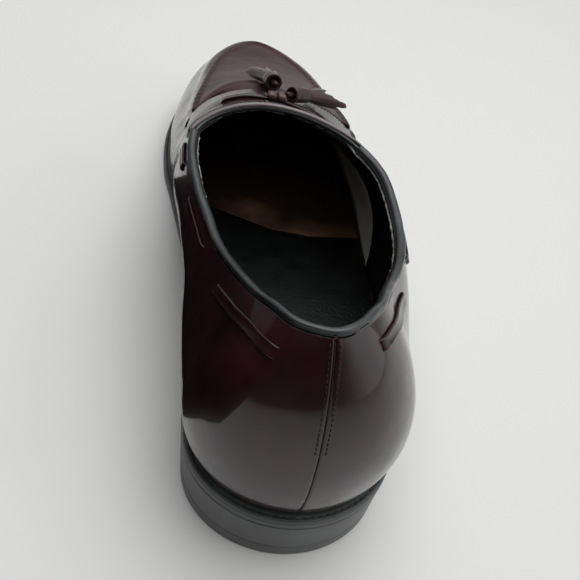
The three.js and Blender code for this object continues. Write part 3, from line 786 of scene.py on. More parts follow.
def node(tree: bpy.types.NodeTree, kind: str, settings: dict | None = None, **links: object) -> bpy.types.Node:
    """Adds a shader node with its settings and links.

    Args:
        tree: The material's tree.
        kind: The node's class name, without its ShaderNode start.
        settings: Node properties by name, input values by socket name or number, or a ramp's stops.
        links: Inputs, spaces as underscores, each given as an output socket or a value.

    Returns:
        The new node.
    """
    made = tree.nodes.new("ShaderNode" + kind)
    for name, value in (settings or {}).items():
        if name == "stops":
            elements = made.color_ramp.elements
            while len(elements) < len(value):
                elements.new(0.5)
            for element, (place, colour) in zip(elements, value):
                element.position = place
                element.color = linear(colour)
        elif isinstance(name, str) and hasattr(made, name):
            setattr(made, name, value)
        else:
            made.inputs[name].default_value = value
    for name, value in links.items():
        socket = made.inputs[int(name[1:])] if name[0] == "_" else made.inputs[name.replace("_", " ")]
        if isinstance(value, bpy.types.NodeSocket):
            tree.links.new(value, socket)
        else:
            socket.default_value = value
    return made


def blank(name: str) -> tuple[bpy.types.Material, bpy.types.NodeTree, bpy.types.Node]:
    """A new material with its tree and shader.

    Args:
        name: The material's name.

    Returns:
        The material, its tree and its shader.
    """
    material = bpy.data.materials.new(name)
    material.use_nodes = True
    tree = material.node_tree
    return material, tree, tree.nodes["Principled BSDF"]


@dataclass(frozen=True)
class PolishedLeather:
    """Box calf finished with high-gloss polish: a deep colour under a clear, nearly mirror-like coat."""

    name: str
    deep: int
    body: int
    warm: int
    roughness: float = 0.36
    specular: float = 0.3  # the dye layer shines little under its polish
    coat: float = 0.8
    coat_roughness: float = 0.07
    waves: float = 0.35  # mm of slow unevenness that breaks the mirror image
    grain: float = 1.1  # mm between the hide's pores, drawn coarser than they are, so that they show
    grain_depth: float = 0.006

    def material(self) -> bpy.types.Material:
        """Builds the material: mottled dye, drawn pores, and faint rub marks in the gloss.

        Returns:
            The material.
        """
        material, tree, shader = blank(self.name)
        place = node(tree, "TexCoord").outputs["Object"]
        clouds = node(tree, "TexNoise", {"Scale": 1 / (28 * MM), "Detail": 3.0, "Roughness": 0.55}, Vector=place)
        mottle = node(tree, "TexNoise", {"Scale": 1 / (7 * MM), "Detail": 4.0, "Roughness": 0.6}, Vector=place)
        both = node(
            tree, "Math", {"operation": "MULTIPLY_ADD", 1: 0.3},
            _0=mottle.outputs["Fac"], _2=clouds.outputs["Fac"],
        )
        stops = [(0.42, self.deep), (0.64, self.body), (0.86, self.warm)]
        colour = node(tree, "ValToRGB", {"stops": stops}, Fac=both.outputs[0])
        tree.links.new(colour.outputs["Color"], shader.inputs["Base Color"])
        rubs = node(tree, "TexNoise", {"Scale": 1 / (11 * MM), "Detail": 6.0, "Roughness": 0.7}, Vector=place)
        rough = node(
            tree, "MapRange",
            {"From Min": 0.35, "From Max": 0.7, "To Min": self.roughness - 0.06, "To Max": self.roughness + 0.1},
            Value=rubs.outputs["Fac"],
        )
        tree.links.new(rough.outputs["Result"], shader.inputs["Roughness"])
        pores = node(tree, "TexVoronoi", {"Scale": 1 / (self.grain * MM)}, Vector=place)
        fine = node(
            tree, "Bump", {"Strength": 1.0, "Distance": self.grain_depth * MM}, Height=pores.outputs["Distance"]
        )
        slow = node(tree, "TexNoise", {"Scale": 1 / (19 * MM), "Detail": 1.5}, Vector=place)
        broad = node(
            tree, "Bump", {"Strength": 1.0, "Distance": self.waves * MM},
            Height=slow.outputs["Fac"], Normal=fine.outputs["Normal"],
        )
        tree.links.new(broad.outputs["Normal"], shader.inputs["Normal"])
        coat_bump = node(tree, "Bump", {"Strength": 1.0, "Distance": self.waves * MM}, Height=slow.outputs["Fac"])
        tree.links.new(coat_bump.outputs["Normal"], shader.inputs["Coat Normal"])
        shader.inputs["IOR"].default_value = 1.5
        shader.inputs["Specular IOR Level"].default_value = self.specular
        shader.inputs["Coat Weight"].default_value = self.coat
        shader.inputs["Coat Roughness"].default_value = self.coat_roughness
        shader.inputs["Coat IOR"].default_value = 1.5
        return material


@dataclass(frozen=True)
class GrainedMatter:
    """Rubber, cloth or plain leather: a cloudy colour with a grain of one size."""

    name: str
    dark: int
    light: int
    roughness: float
    grain: float  # mm
    depth: float  # mm
    clouds: float = 14.0  # mm
    sheen: float = 0.0
    pebbled: bool = False
    specular: float = 0.5
    painted_toe_shade: float = 0.0  # painted shade: how much the colour sinks towards the toe, deep inside the shoe where little light reaches

    def material(self) -> bpy.types.Material:
        """Builds the material: clouded colour, and pebbles or fine noise in the relief.

        Returns:
            The material.
        """
        material, tree, shader = blank(self.name)
        place = node(tree, "TexCoord").outputs["Object"]
        cloud = node(
            tree, "TexNoise", {"Scale": 1 / (self.clouds * MM), "Detail": 5.0, "Roughness": 0.6}, Vector=place
        )
        axes = node(tree, "SeparateXYZ", {}, Vector=place)
        # painted shade: the colour darkens along y towards the toe, standing in for the shade deep inside the shoe
        ahead = node(
            tree, "MapRange", {"From Min": 0.095, "From Max": 0.165, "To Min": 0.0, "To Max": -self.painted_toe_shade},
            Value=axes.outputs["Y"],
        )
        shade = node(tree, "Math", {"operation": "ADD"}, _0=cloud.outputs["Fac"], _1=ahead.outputs["Result"])
        # the darkest stop is the painted shade at the toe
        painted_shade_stop = [(0.05, 0x33271E)] if self.painted_toe_shade else []
        stops = painted_shade_stop + [(0.35, self.dark), (0.68, self.light)]
        colour = node(tree, "ValToRGB", {"stops": stops}, Fac=shade.outputs[0])
        tree.links.new(colour.outputs["Color"], shader.inputs["Base Color"])
        if self.pebbled:
            cells = node(
                tree, "TexVoronoi", {"feature": "SMOOTH_F1", "Scale": 1 / (self.grain * MM), "Smoothness": 0.4},
                Vector=place,
            )
            height = node(tree, "Math", {"operation": "SUBTRACT", 0: 1.0}, _1=cells.outputs["Distance"]).outputs[0]
        else:
            height = node(
                tree, "TexNoise", {"Scale": 1 / (self.grain * MM), "Detail": 4.0, "Roughness": 0.65}, Vector=place
            ).outputs["Fac"]
        bump = node(tree, "Bump", {"Strength": 1.0, "Distance": self.depth * MM}, Height=height)
        tree.links.new(bump.outputs["Normal"], shader.inputs["Normal"])
        worn = node(
            tree, "MapRange",
            {"From Min": 0.3, "From Max": 0.7, "To Min": self.roughness - 0.07, "To Max": self.roughness + 0.07},
            Value=cloud.outputs["Fac"],
        )
        tree.links.new(worn.outputs["Result"], shader.inputs["Roughness"])
        shader.inputs["Sheen Weight"].default_value = self.sheen
        shader.inputs["Specular IOR Level"].default_value = self.specular
        return material


class Finish(Enum):
    """The shoe's finishes."""

    UPPER = PolishedLeather("polished_burgundy_calf", 0x16070A, 0x250C11, 0x321216)
    APRON = PolishedLeather(
        "satin_burgundy_apron", 0x2E1A1C, 0x3C2426, 0x472D2E, roughness=0.5, specular=0.2, coat=0.2, coat_roughness=0.26
    )
    # painted highlight: the lip's base is a lighter grey-mauve than the saddle's burgundy, standing in for the light
    # its rolled edge catches
    LIP = PolishedLeather("saddle_lip_painted_highlight", 0x4C4142, 0x5E5253, 0x716566, specular=0.5, waves=0.1)
    SADDLE = PolishedLeather("polished_burgundy_saddle", 0x1C0C0F, 0x2C1418, 0x3B1E20, coat=0.55, waves=0.2)
    LACE = PolishedLeather("burgundy_lace_leather", 0x14060A, 0x210B0F, 0x2E1114, coat=0.5, waves=0.08)
    # the knot is coloured a lighter brown than the lace it is tied from
    KNOT = PolishedLeather("light_brown_knot_leather", 0x3A2623, 0x4B322E, 0x5D413B, coat=0.4, waves=0.08)
    TASSEL = PolishedLeather(
        "burgundy_strip_leather", 0x28181A, 0x3C292A, 0x503A3B,
        specular=0.25, coat=0.2, coat_roughness=0.2, waves=0.1,
    )
    BINDING = PolishedLeather(
        "rolled_black_leather", 0x1A1D1E, 0x272B2C, 0x34393A, specular=0.5, coat=0.35, coat_roughness=0.25, waves=0.1
    )
    SOLE = GrainedMatter("charcoal_sole_rubber", 0x3E4140, 0x525554, 0.42, 0.5, 0.03)
    HEEL = GrainedMatter("charcoal_heel_rubber", 0x4D504F, 0x646766, 0.42, 0.6, 0.03)
    SOCK = GrainedMatter(
        "pebbled_black_sock_leather", 0x070909, 0x0F1212, 0.55, 1.5, 0.22, pebbled=True, specular=0.22
    )
    LINING = GrainedMatter("black_quarter_lining", 0x060606, 0x0E0E0F, 0.6, 0.8, 0.05)
    CANVAS = GrainedMatter("beige_canvas_lining", 0xE8DFCE, 0xF6EFE2, 0.85, 0.7, 0.12, sheen=0.2)
    INSOLE = GrainedMatter(
        "tan_insole_leather", 0x7A5A42, 0x8C6C52, 0.62, 0.9, 0.05, clouds=30.0, painted_toe_shade=0.6
    )
    FRAY = GrainedMatter("frayed_lining_edge", 0x3A3835, 0xCFCAC1, 0.85, 0.4, 0.1, clouds=2.6, sheen=0.3)
    THREAD = GrainedMatter("waxed_burgundy_thread", 0x0E0506, 0x1E0D0F, 0.6, 0.3, 0.05)
    WELT_THREAD = GrainedMatter("charcoal_welt_thread", 0x2B2D2C, 0x44474A, 0.6, 0.3, 0.05)


MADE: dict[Finish, bpy.types.Material] = {}


def finished(finish: Finish) -> bpy.types.Material:
    """The finish's material, made once.

    Args:
        finish: The finish.

    Returns:
        Its material.
    """
    if finish not in MADE:
        MADE[finish] = finish.value.material()
    return MADE[finish]


def piece(
    bm: bmesh.types.BMesh, name: str, finish: Finish, replaces: Sequence[str] = (), smooth: bool = True
) -> bpy.types.Object:
    """Turns a mesh into a piece of the shoe.

    Args:
        bm: The piece's mesh, already in the model's frame.
        name: The piece's name.
        finish: Its finish.
        replaces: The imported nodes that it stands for.
        smooth: Whether its faces are shaded smoothly.

    Returns:
        The object.
    """
    mesh = bpy.data.meshes.new(name)
    for f in bm.faces:
        f.smooth = smooth
    bm.to_mesh(mesh)
    bm.free()
    obj = bpy.data.objects.new(name, mesh)
    bpy.context.scene.collection.objects.link(obj)
    mesh.materials.append(finished(finish))
    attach(obj, BODY)
    if replaces:
        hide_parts(*replaces)
    log.info("%s: %d faces", name, len(mesh.polygons))
    return obj


@dataclass(frozen=True)
class Fold:
    """A soft ridge or trough along a line in plan."""

    line: tuple[tuple[float, float], ...]
    width: float
    height: float

    def lift(self, p: Vector) -> float:
        """How far it lifts a point of the leather.

        Args:
            p: The point.

        Returns:
            The lift in millimetres.
        """
        best, share = 1e9, 0.0
        count = len(self.line) - 1
        for i in range(count):
            a, b = Vector(self.line[i]), Vector(self.line[i + 1])
            along = b - a
            t = clamp((p.xy - a).dot(along) / along.length_squared)
            distance = (p.xy - a - along * t).length
            if distance < best:
                best, share = distance, (i + t) / count
        fade = math.sqrt(max(math.sin(math.pi * clamp(share, 0.02, 0.98)), 0))
        return self.height * bell(best, self.width) * fade


def ripple(p: Vector, size: float, seed: float) -> float:
    """Slow unevenness of hand-drawn leather, between about -1 and 1."""
    return noise.noise(Vector((p.x / size + seed, p.y / size, p.z / size)))


@dataclass
class Upper:
    """Vamp, quarters, apron, saddle, linings and the binding round the collar."""

    leather: float = 1.3
    lining_depth: float = 1.6
    lining_thick: float = 0.6
    seam_rise: float = 1.3
    gather_pitch: float = 2.6
    gather_depth: float = 0.09
    puff_in: float = 0.9
    puff_out: float = 1.5
    puff_toe: float = 2.0
    seam_x: float = -0.9  # where the back seam runs
    roll_width: float = 4.0
    roll_height: float = 2.9
    lip_out: float = 2.6
    lip_thick: float = 1.5
    border: float = 1.3
    folds: tuple[Fold, ...] = (
        Fold(((-38, 182), (-24, 190), (-8, 194), (6, 192)), 2.6, 1.4),
        Fold(((-36, 186), (-22, 195), (-6, 199)), 2.0, -1.0),
        Fold(((-30, 194), (-16, 203), (0, 206)), 3.5, 0.8),
        Fold(((10, 186), (24, 183), (36, 176)), 2.4, -0.5),
    )
    saddle_folds: tuple[Fold, ...] = (
        Fold(((-34, 150), (-24, 168), (-10, 178)), 1.6, -0.5),
        Fold(((-32, 154), (-20, 173), (-6, 181)), 1.8, 0.4),
        Fold(((12, 176), (24, 166), (34, 152)), 1.6, -0.4),
    )

    def side_stations(self, side: int, front: float = 1.0) -> list[float]:
        """Ribs of one side, close together at the seams and edges.

        Args:
            side: -1 for the inner side, 1 for the outer.
            front: The last rib wanted.

        Returns:
            The ribs in order.
        """
        end = LAST.saddle_end
        near_seam = [LAST.seam_station(d) for d in (0.35, 0.7, 1.1, 1.6, 2.2, 3.0, 4.0, 5.2, 6.6)]
        edge = [end + d / LAST.ridge_length for d in (-1.5, -1.0, -0.6, -0.3, 0.3, 0.8)]
        return [
            at
            for at in unlike(
                near_seam
                + edge
                + spread(64, 0, LAST.corner[side], slow_start)
                + spread(44, LAST.corner[side], LAST.throat, brake)
                + spread(18, LAST.throat, end)
                + spread(150, end, 1, slow_end)
            )
            if at <= front
        ]

    def columns(self, low: float = 0.0, high: float = 1.0) -> list[tuple[int, float]]:
        """Ribs round the shoe: up the inner side, and back down the outer side.

        Args:
            low: First rib.
            high: Last rib.

        Returns:
            Side and rib of each column.
        """
        inner = [at for at in self.side_stations(-1) if low <= at <= high]
        outer = [at for at in self.side_stations(1) if low <= at <= high]
        if high >= 1:
            return [(-1, at) for at in inner] + [(1, at) for at in reversed(outer) if at < 1]
        return [(-1, at) for at in inner] + [(1, at) for at in reversed(outer)]

    def seam_marks(self, columns: Sequence[tuple[int, float]]) -> list[float]:
        """Distance along the apron's seam at each rib.

        Args:
            columns: Side and rib of each column.

        Returns:
            The distances.
        """
        line = [LAST.point(at, side * (1 - LAST.seam_low(at))) for side, at in columns]
        marks = [0.0]
        for a, b in zip(line, line[1:]):
            marks.append(marks[-1] + (b - a).length)
        return marks

    def wall_relief(self, side: int, at: float, t: float, top: float, mark: float) -> float:
        """Relief of the side wall: the tuck at the welt, the back seam and the gathers under the apron.

        Args:
            side: -1 for the inner side, 1 for the outer.
            at: Share of the way along the last.
            t: Share of the way up the rib.
            top: Where the wall ends.
            mark: Distance along the seam.

        Returns:
            The relief in millimetres.
        """
        p = LAST.point(at, side * (1 - t))
        foot, _, _, ridge = LAST.rib(at, side)
        rib_length = 1.25 * (ridge - foot).length
        relief = 0.22 * ripple(p, 34, 3.1) + 0.07 * ripple(p, 12, 8.4)
        relief -= 0.7 * bell(t * rib_length, 1.1)
        if at < 0.05:
            away = abs(p.x - self.seam_x)
            relief -= 0.5 * bell(away, 0.38)
            relief += 0.14 * bell(away - 1.1, 0.7) * smooth_step(0.3, 0.6, t)
        flex = smooth_step(132, 150, p.y) * smooth_step(222, 196, p.y) * smooth_step(0.08, 0.3, t)
        slant = p.y * 0.9 + (p.z - 30) * (0.9 if side < 0 else -0.6) + 6 * ripple(p, 20, 9.0)
        relief += 0.24 * flex * math.sin(2 * math.pi * slant / 10.5) * (0.5 + 0.7 * ripple(p, 14, 2.0))
        if at > LAST.saddle_end:
            below = max(top - t, 0) * rib_length
            wave = math.cos(2 * math.pi * mark / self.gather_pitch)
            relief += self.gather_depth * wave * math.exp(-below / 2.4)
            puff = mix(self.puff_out if side > 0 else self.puff_in, self.puff_toe, smooth_step(0.78, 0.92, at))
            relief += 0.5 * bell(below, 2.2) + puff * bell(below - 4.5, 4.0)
        return relief

    def shell(self) -> bpy.types.Object:
        """The vamp and quarters: one sheet from the welt to the collar and under the apron.

        Returns:
            The object.
        """
        columns = self.columns()
        marks = self.seam_marks(columns)
        wall = unlike([0.012, 0.024, 0.04] + spread(30, 0, 1, slow_end))
        rows = len(wall) - 1 + 6

        def place(i: int, j: int) -> Vector:
            """A corner of the shell.

            Args:
                i: Column of the grid.
                j: Row of the grid.

            Returns:
                The corner.
            """
            side, at = columns[i]
            top = LAST.wall_top(at, side)
            if j < len(wall):
                t = wall[j] * top
                return LAST.lifted(at, side * (1 - t), self.wall_relief(side, at, t, top, marks[i]))
            t = mix(top, LAST.reach(at, side), (j - len(wall) + 1) / 6)
            return LAST.lifted(at, side * (1 - t), 0)

        bm = bmesh.new()
        laid_grid(bm, len(columns) - 1, rows, place)
        weld(bm)
        face_away(bm, Vector((0, 150, 25)))
        obj = piece(bm, "vamp_and_quarters", Finish.UPPER, ["upper"])
        thick = obj.modifiers.new("leather", "SOLIDIFY")
        thick.thickness, thick.offset = self.leather * MM, -1
        return obj

    def linings(self) -> None:
        """The black quarter lining, the canvas vamp lining, and the raw edge at the collar."""
        columns = self.columns()
        rows = [0.0, 0.03, 0.08, 0.16, 0.26, 0.38, 0.5, 0.62, 0.74, 0.84, 0.92, 0.96, 0.985, 1.0]

        def place(i: int, j: int) -> Vector:
            """A corner of the lining.

            Args:
                i: Column of the grid.
                j: Row of the grid.

            Returns:
                The corner.
            """
            side, at = columns[i]
            share = rows[j]
            t = share * LAST.reach(at, side)
            curl = 1.2 * smooth_step(0.95, 1.0, share) * smooth_step(LAST.throat, LAST.throat - 0.02, at)
            return LAST.lifted(at, side * (1 - t), -self.lining_depth - curl)

        halves = (("quarter_lining", Finish.LINING, False), ("vamp_lining", Finish.CANVAS, True))
        for name, finish, keep_front in halves:
            bm = bmesh.new()
            laid_grid(bm, len(columns) - 1, len(rows) - 1, place)
            weld(bm)
            lean = Vector((0, 1, -0.55)).normalized()
            bmesh.ops.bisect_plane(
                bm, geom=bm.verts[:] + bm.edges[:] + bm.faces[:], dist=1e-7,
                plane_co=to_frame(Vector((0, 136, 10))), plane_no=lean,
                clear_outer=not keep_front, clear_inner=keep_front,
            )
            face_away(bm, Vector((0, 150, 25)))
            obj = piece(bm, name, finish)
            thick = obj.modifiers.new("lining", "SOLIDIFY")
            thick.thickness, thick.offset = self.lining_thick * MM, -1

        bm = bmesh.new()
        frames = []
        corner_y = min(LAST.ridge_of(LAST.corner[side]).y for side in SIDES)
        for p, n, off in LAST.edge_line(self.round_collar(150), 0.8, looped=True):
            under_lip = smooth_step(corner_y - 3, corner_y + 3, p.y)
            wobble = 0.3 * ripple(p, 1.6, 5.0)
            inward = mix(self.roll_width / 2 + LAST.wall / 2 + 0.5, 1.9, under_lip) + wobble
            centre = p - n * inward + off * (mix(0.9, -0.2, under_lip) + wobble)
            frames.append((centre, n, off))
        sweep(
            bm, frames, lambda i: round_section(0.4 * (1 + 0.8 * ripple(frames[i][0], 0.9, 1.0)), 6), looped=True
        )
        piece(bm, "lining_raw_edge", Finish.FRAY)

        bm = bmesh.new()
        places = [(side, at) for side, at in self.columns(0, LAST.throat) if at >= LAST.corner[side] - 0.012]
        frames = [(p - n * 1.15 + off * 0.6, n, off) for p, n, off in LAST.edge_line(places)]
        sweep(bm, frames, lambda i: [(a * 0.95, b * 1.5) for a, b in round_section(1.0, 14)])
        piece(bm, "throat_binding", Finish.BINDING)

    def round_collar(self, count: int) -> list[tuple[int, float]]:
        """Ribs all the way round the collar's edge, from the middle of the throat past the heel and back.

        Args:
            count: Steps from the heel to each corner.

        Returns:
            Side and rib of each place.
        """
        inner, outer = (
            unlike(spread(count, 0, LAST.corner[side], slow_start) + spread(40, LAST.corner[side], LAST.throat, brake))
            for side in SIDES
        )
        back = [(-1, at) for at in reversed(inner)] + [(1, at) for at in outer[1:]]
        heel = len(inner)
        return back[heel:] + back[1:heel]

    def binding_columns(self) -> list[tuple[int, float]]:
        """Ribs along the binding, from the inner corner round the heel to the outer one.

        Returns:
            Side and rib of each place.
        """
        short = 2 * LAST.gap / LAST.ridge_length

        def one(side: int) -> list[float]:
            """Ribs of one side, shortened at the saddle's corner."""
            corner = LAST.corner[side]
            return unlike(min(at, corner - short) for at in spread(90, 0, corner, slow_start))

        return [(-1, at) for at in reversed(one(-1))] + [(1, at) for at in one(1)[1:]]

    def binding(self) -> bpy.types.Object:
        """The rolled binding on the collar's edge.

        Returns:
            The object.
        """
        frames = []
        for p, n, off in LAST.edge_line(self.binding_columns(), 1.2):
            centre = p + off * (LAST.gap + self.roll_height / 2) - n * (LAST.wall / 2)
            frames.append((centre, n, off))
        count = 28

        def ring(i: int) -> list[tuple[float, float]]:
            """The roll's section: full on top, with a groove low on its outer face where it is sewn.

            Args:
                i: Step along the roll.

            Returns:
                The section's points.
            """
            section = []
            for k in range(count):
                a = 2 * math.pi * k / count
                groove = 0.3 * bell(math.degrees(a) - 322, 13) + 0.2 * bell(math.degrees(a) - 128, 9)
                lumps = 0.08 * ripple(frames[i][0] + frames[i][1] * math.cos(a) * 2, 5.5, 2.0)
                size = 1.04 - groove + lumps
                section.append(
                    (math.cos(a) * self.roll_width / 2 * size, math.sin(a) * self.roll_height / 2 * size)
                )
            return section

        bm = bmesh.new()
        sweep(bm, frames, ring)
        return piece(bm, "collar_roll", Finish.BINDING, ["collar_binding"])

    def rounded_border(self, distance: float) -> float:
        """Height of an overlay's leather at a distance inside its turned edge."""
        share = clamp(distance / self.border)
        return (LAST.gap + LAST.overlay) * math.sqrt(1 - (1 - share) ** 2) if share < 1 else LAST.gap + LAST.overlay

    def saddle(self) -> bpy.types.Object:
        """The saddle, with turned edges and a thick lip rolled over the throat.

        Returns:
            The saddle's object.
        """
        across = unlike([0.012, 0.025, 0.045, 0.07] + spread(26, 0, 1))
        lip = [-30, -15, 0, 18, 36, 54, 72, 90, 110, 130, 150, 170, 190, 215]
        bm = bmesh.new()
        for side in SIDES:
            stations = [at for at in self.side_stations(side, LAST.saddle_end) if at >= LAST.corner[side] - 1e-9]

            def place(i: int, j: int) -> Vector:
                """A corner of one half of the saddle, from the seam up to the ridge or the throat.

                Args:
                    i: Column of the grid.
                    j: Row of the grid.

                Returns:
                    The corner.
                """
                at = stations[i]
                low_t = LAST.seam_low(at)
                t = mix(low_t, LAST.reach(at, side), across[j])
                p = LAST.point(at, side * (1 - t))
                edge = LAST.point(at, side * (1 - low_t))
                ahead = (LAST.saddle_end - at) * LAST.ridge_length
                height = min(self.rounded_border((p - edge).length), self.rounded_border(ahead))
                away = smooth_step(0, 5, (LAST.reach(at, side) - t) * 60)
                pull = sum(fold.lift(p) for fold in self.saddle_folds)
                return LAST.lifted(at, side * (1 - t), height + away * (0.12 * ripple(p, 13, 1.7) + pull))

            laid_grid(bm, len(stations) - 1, len(across) - 1, place)
        rim = [
            (side, at)
            for side, at in self.columns(0, LAST.throat)
            if at >= LAST.corner[side] - 1e-9
        ]

        rolled = LAST.edge_line(rim)

        def turn(i: int, j: int) -> Vector:
            """A corner of the lip that rolls over the throat.

            Args:
                i: Column of the grid.
                j: Row of the grid.

            Returns:
                The corner.
            """
            side, at = rim[i]
            p, n, off = rolled[i]
            a = math.radians(lip[j])
            full = smooth_step(LAST.corner[side] - 0.004, LAST.corner[side] + 0.03, at)
            thick = mix(0.7, self.lip_thick, full)
            rise = LAST.gap + LAST.overlay
            back = 1.2 if a < 0 else 1.0
            reach = self.lip_out * mix(0.6, 1, full) * math.sin(a) * back
            return p + off * reach + n * (rise + 0.05 - thick * (1 - math.cos(a)))

        weld(bm)
        face_away(bm, Vector((0, 165, 30)))
        obj = piece(bm, "saddle_strap", Finish.SADDLE, ["saddle"])
        thick = obj.modifiers.new("leather", "SOLIDIFY")
        thick.thickness, thick.offset = 0.5 * MM, -1

        bm = bmesh.new()
        laid_grid(bm, len(rim) - 1, len(lip) - 1, turn)
        weld(bm)
        face_away(bm, Vector((0, 160, 55)))
        # painted highlight: the lip takes Finish.LIP, lighter and greyer than the saddle it is turned from
        roll = piece(bm, "saddle_rolled_edge", Finish.LIP)
        thick = roll.modifiers.new("leather", "SOLIDIFY")
        thick.thickness, thick.offset = 0.4 * MM, -1
        return obj

    def apron(self) -> bpy.types.Object:
        """The apron, with its gathered seam standing proud and the creases of wear behind the tassels.

        Returns:
            The object.
        """
        start = LAST.saddle_end + LAST.gap / LAST.ridge_length
        columns = [c for c in self.columns(start, 1.0)]
        columns = [(-1, start)] + columns + [(1, start)]
        marks = self.seam_marks(columns)
        seam_rows = [0.01, 0.02, 0.03, 0.04, 0.05, 0.06, 0.07, 0.085, 0.1, 0.12, 0.14, 0.165]
        across = unlike(seam_rows + spread(30, 0, 1))

        def place(i: int, j: int) -> Vector:
            """A corner of the apron.

            Args:
                i: Column of the grid.
                j: Row of the grid.

            Returns:
                The corner.
            """
            side, at = columns[i]
            way = across[j]
            low_t = LAST.seam_low(at)
            t = mix(low_t, 1, way)
            p = LAST.point(at, side * (1 - t))
            wave = math.cos(2 * math.pi * marks[i] / self.gather_pitch)
            swell = 0.15 + 0.85 * smooth_step(0, 0.045, way) if way < 0.06 else 1 - smooth_step(0.06, 0.15, way)
            height = LAST.gap + LAST.overlay + self.seam_rise * swell
            height += 0.05 * wave * swell + 0.04 * wave * bell(way - 0.14, 0.06)
            inner = smooth_step(0.05, 0.2, way)
            height += inner * (sum(fold.lift(p) for fold in self.folds) + 0.18 * ripple(p, 26, 6.0))
            height -= 0.9 * bell((at - start) * LAST.ridge_length, 0.5) * (1 - 0.6 * swell)
            return LAST.lifted(at, side * (1 - t), height)

        bm = bmesh.new()
        laid_grid(bm, len(columns) - 1, len(across) - 1, place)
        weld(bm)
        face_away(bm, Vector((0, 200, 10)))
        obj = piece(bm, "raised_apron", Finish.APRON, ["apron"])
        thick = obj.modifiers.new("leather", "SOLIDIFY")
        thick.thickness, thick.offset = LAST.overlay * MM, -1
        return obj

    def threads(self) -> None:
        """Stitches: twin rows up the back seam, the apron's hand stitches and the saddle's front row."""
        bm = bmesh.new()
        total = 0
        for side in SIDES:
            line = []
            for t in spread(24, 0.46, 0.985):
                share = t * LAST.reach(0, side)

                def aside(at: float) -> float:
                    """How far a rib lies past the row of stitches."""
                    return abs(LAST.point(at, side * (1 - share)).x - self.seam_x) - 1.6

                at = zero_of(aside, 0, 0.05)
                u = side * (1 - t * LAST.reach(at, side))
                line.append((LAST.lifted(at, u, 0.12), LAST.normal(at, u)))
            total += stitch_row(bm, line, 1.7, 0.2, fill=0.7)
        seam = [LAST.lifted(0, t * LAST.reach(0, 1) - 1, -0.32) for t in spread(60, 0.015, 0.985)]
        thread(bm, seam, 0.26, Vector((0, -1, 0)))
        piece(bm, "back_seam_stitches", Finish.THREAD)

        bm = bmesh.new()
        columns = self.columns(LAST.saddle_end + 2 / LAST.ridge_length, 1.0)
        marks = self.seam_marks(columns)
        pitch, due = 2 * self.gather_pitch, self.gather_pitch
        for (side, at), mark in zip(columns, marks):
            if mark < due:
                continue
            due += pitch
            low_t = LAST.seam_low(at)
            rise = LAST.gap + LAST.overlay
            steps = [(-0.045, 0.1), (-0.02, 0.62), (0.0, 1.2), (0.02, rise + 0.5 * self.seam_rise),
                     (0.05, rise + self.seam_rise), (0.09, rise + 0.8 * self.seam_rise), (0.14, rise - 0.1)]
            points = [LAST.lifted(at, side * (1 - mix(low_t, 1, way)), lift) for way, lift in steps]
            thread(bm, points, 0.14, LAST.normal(at, side * (1 - low_t)))
            total += 1
        piece(bm, "apron_hand_stitches", Finish.THREAD)

        bm = bmesh.new()
        at = LAST.saddle_end - 2.2 / LAST.ridge_length
        low_t = LAST.seam_low(at)
        lift = LAST.gap + LAST.overlay
        line = [
            (LAST.lifted(at, u, lift), LAST.normal(at, u))
            for u in spread(60, -(1 - low_t) * 0.96, (1 - low_t) * 0.96)
        ]
        total += stitch_row(bm, line, 1.9, 0.13, fill=0.7)
        piece(bm, "saddle_front_stitches", Finish.THREAD)
        log.info("stitches in the upper: %d", total)

    def build(self) -> None:
        """Makes every piece of the upper."""
        self.shell()
        self.linings()
        self.binding()
        self.saddle()
        self.apron()
        self.threads()


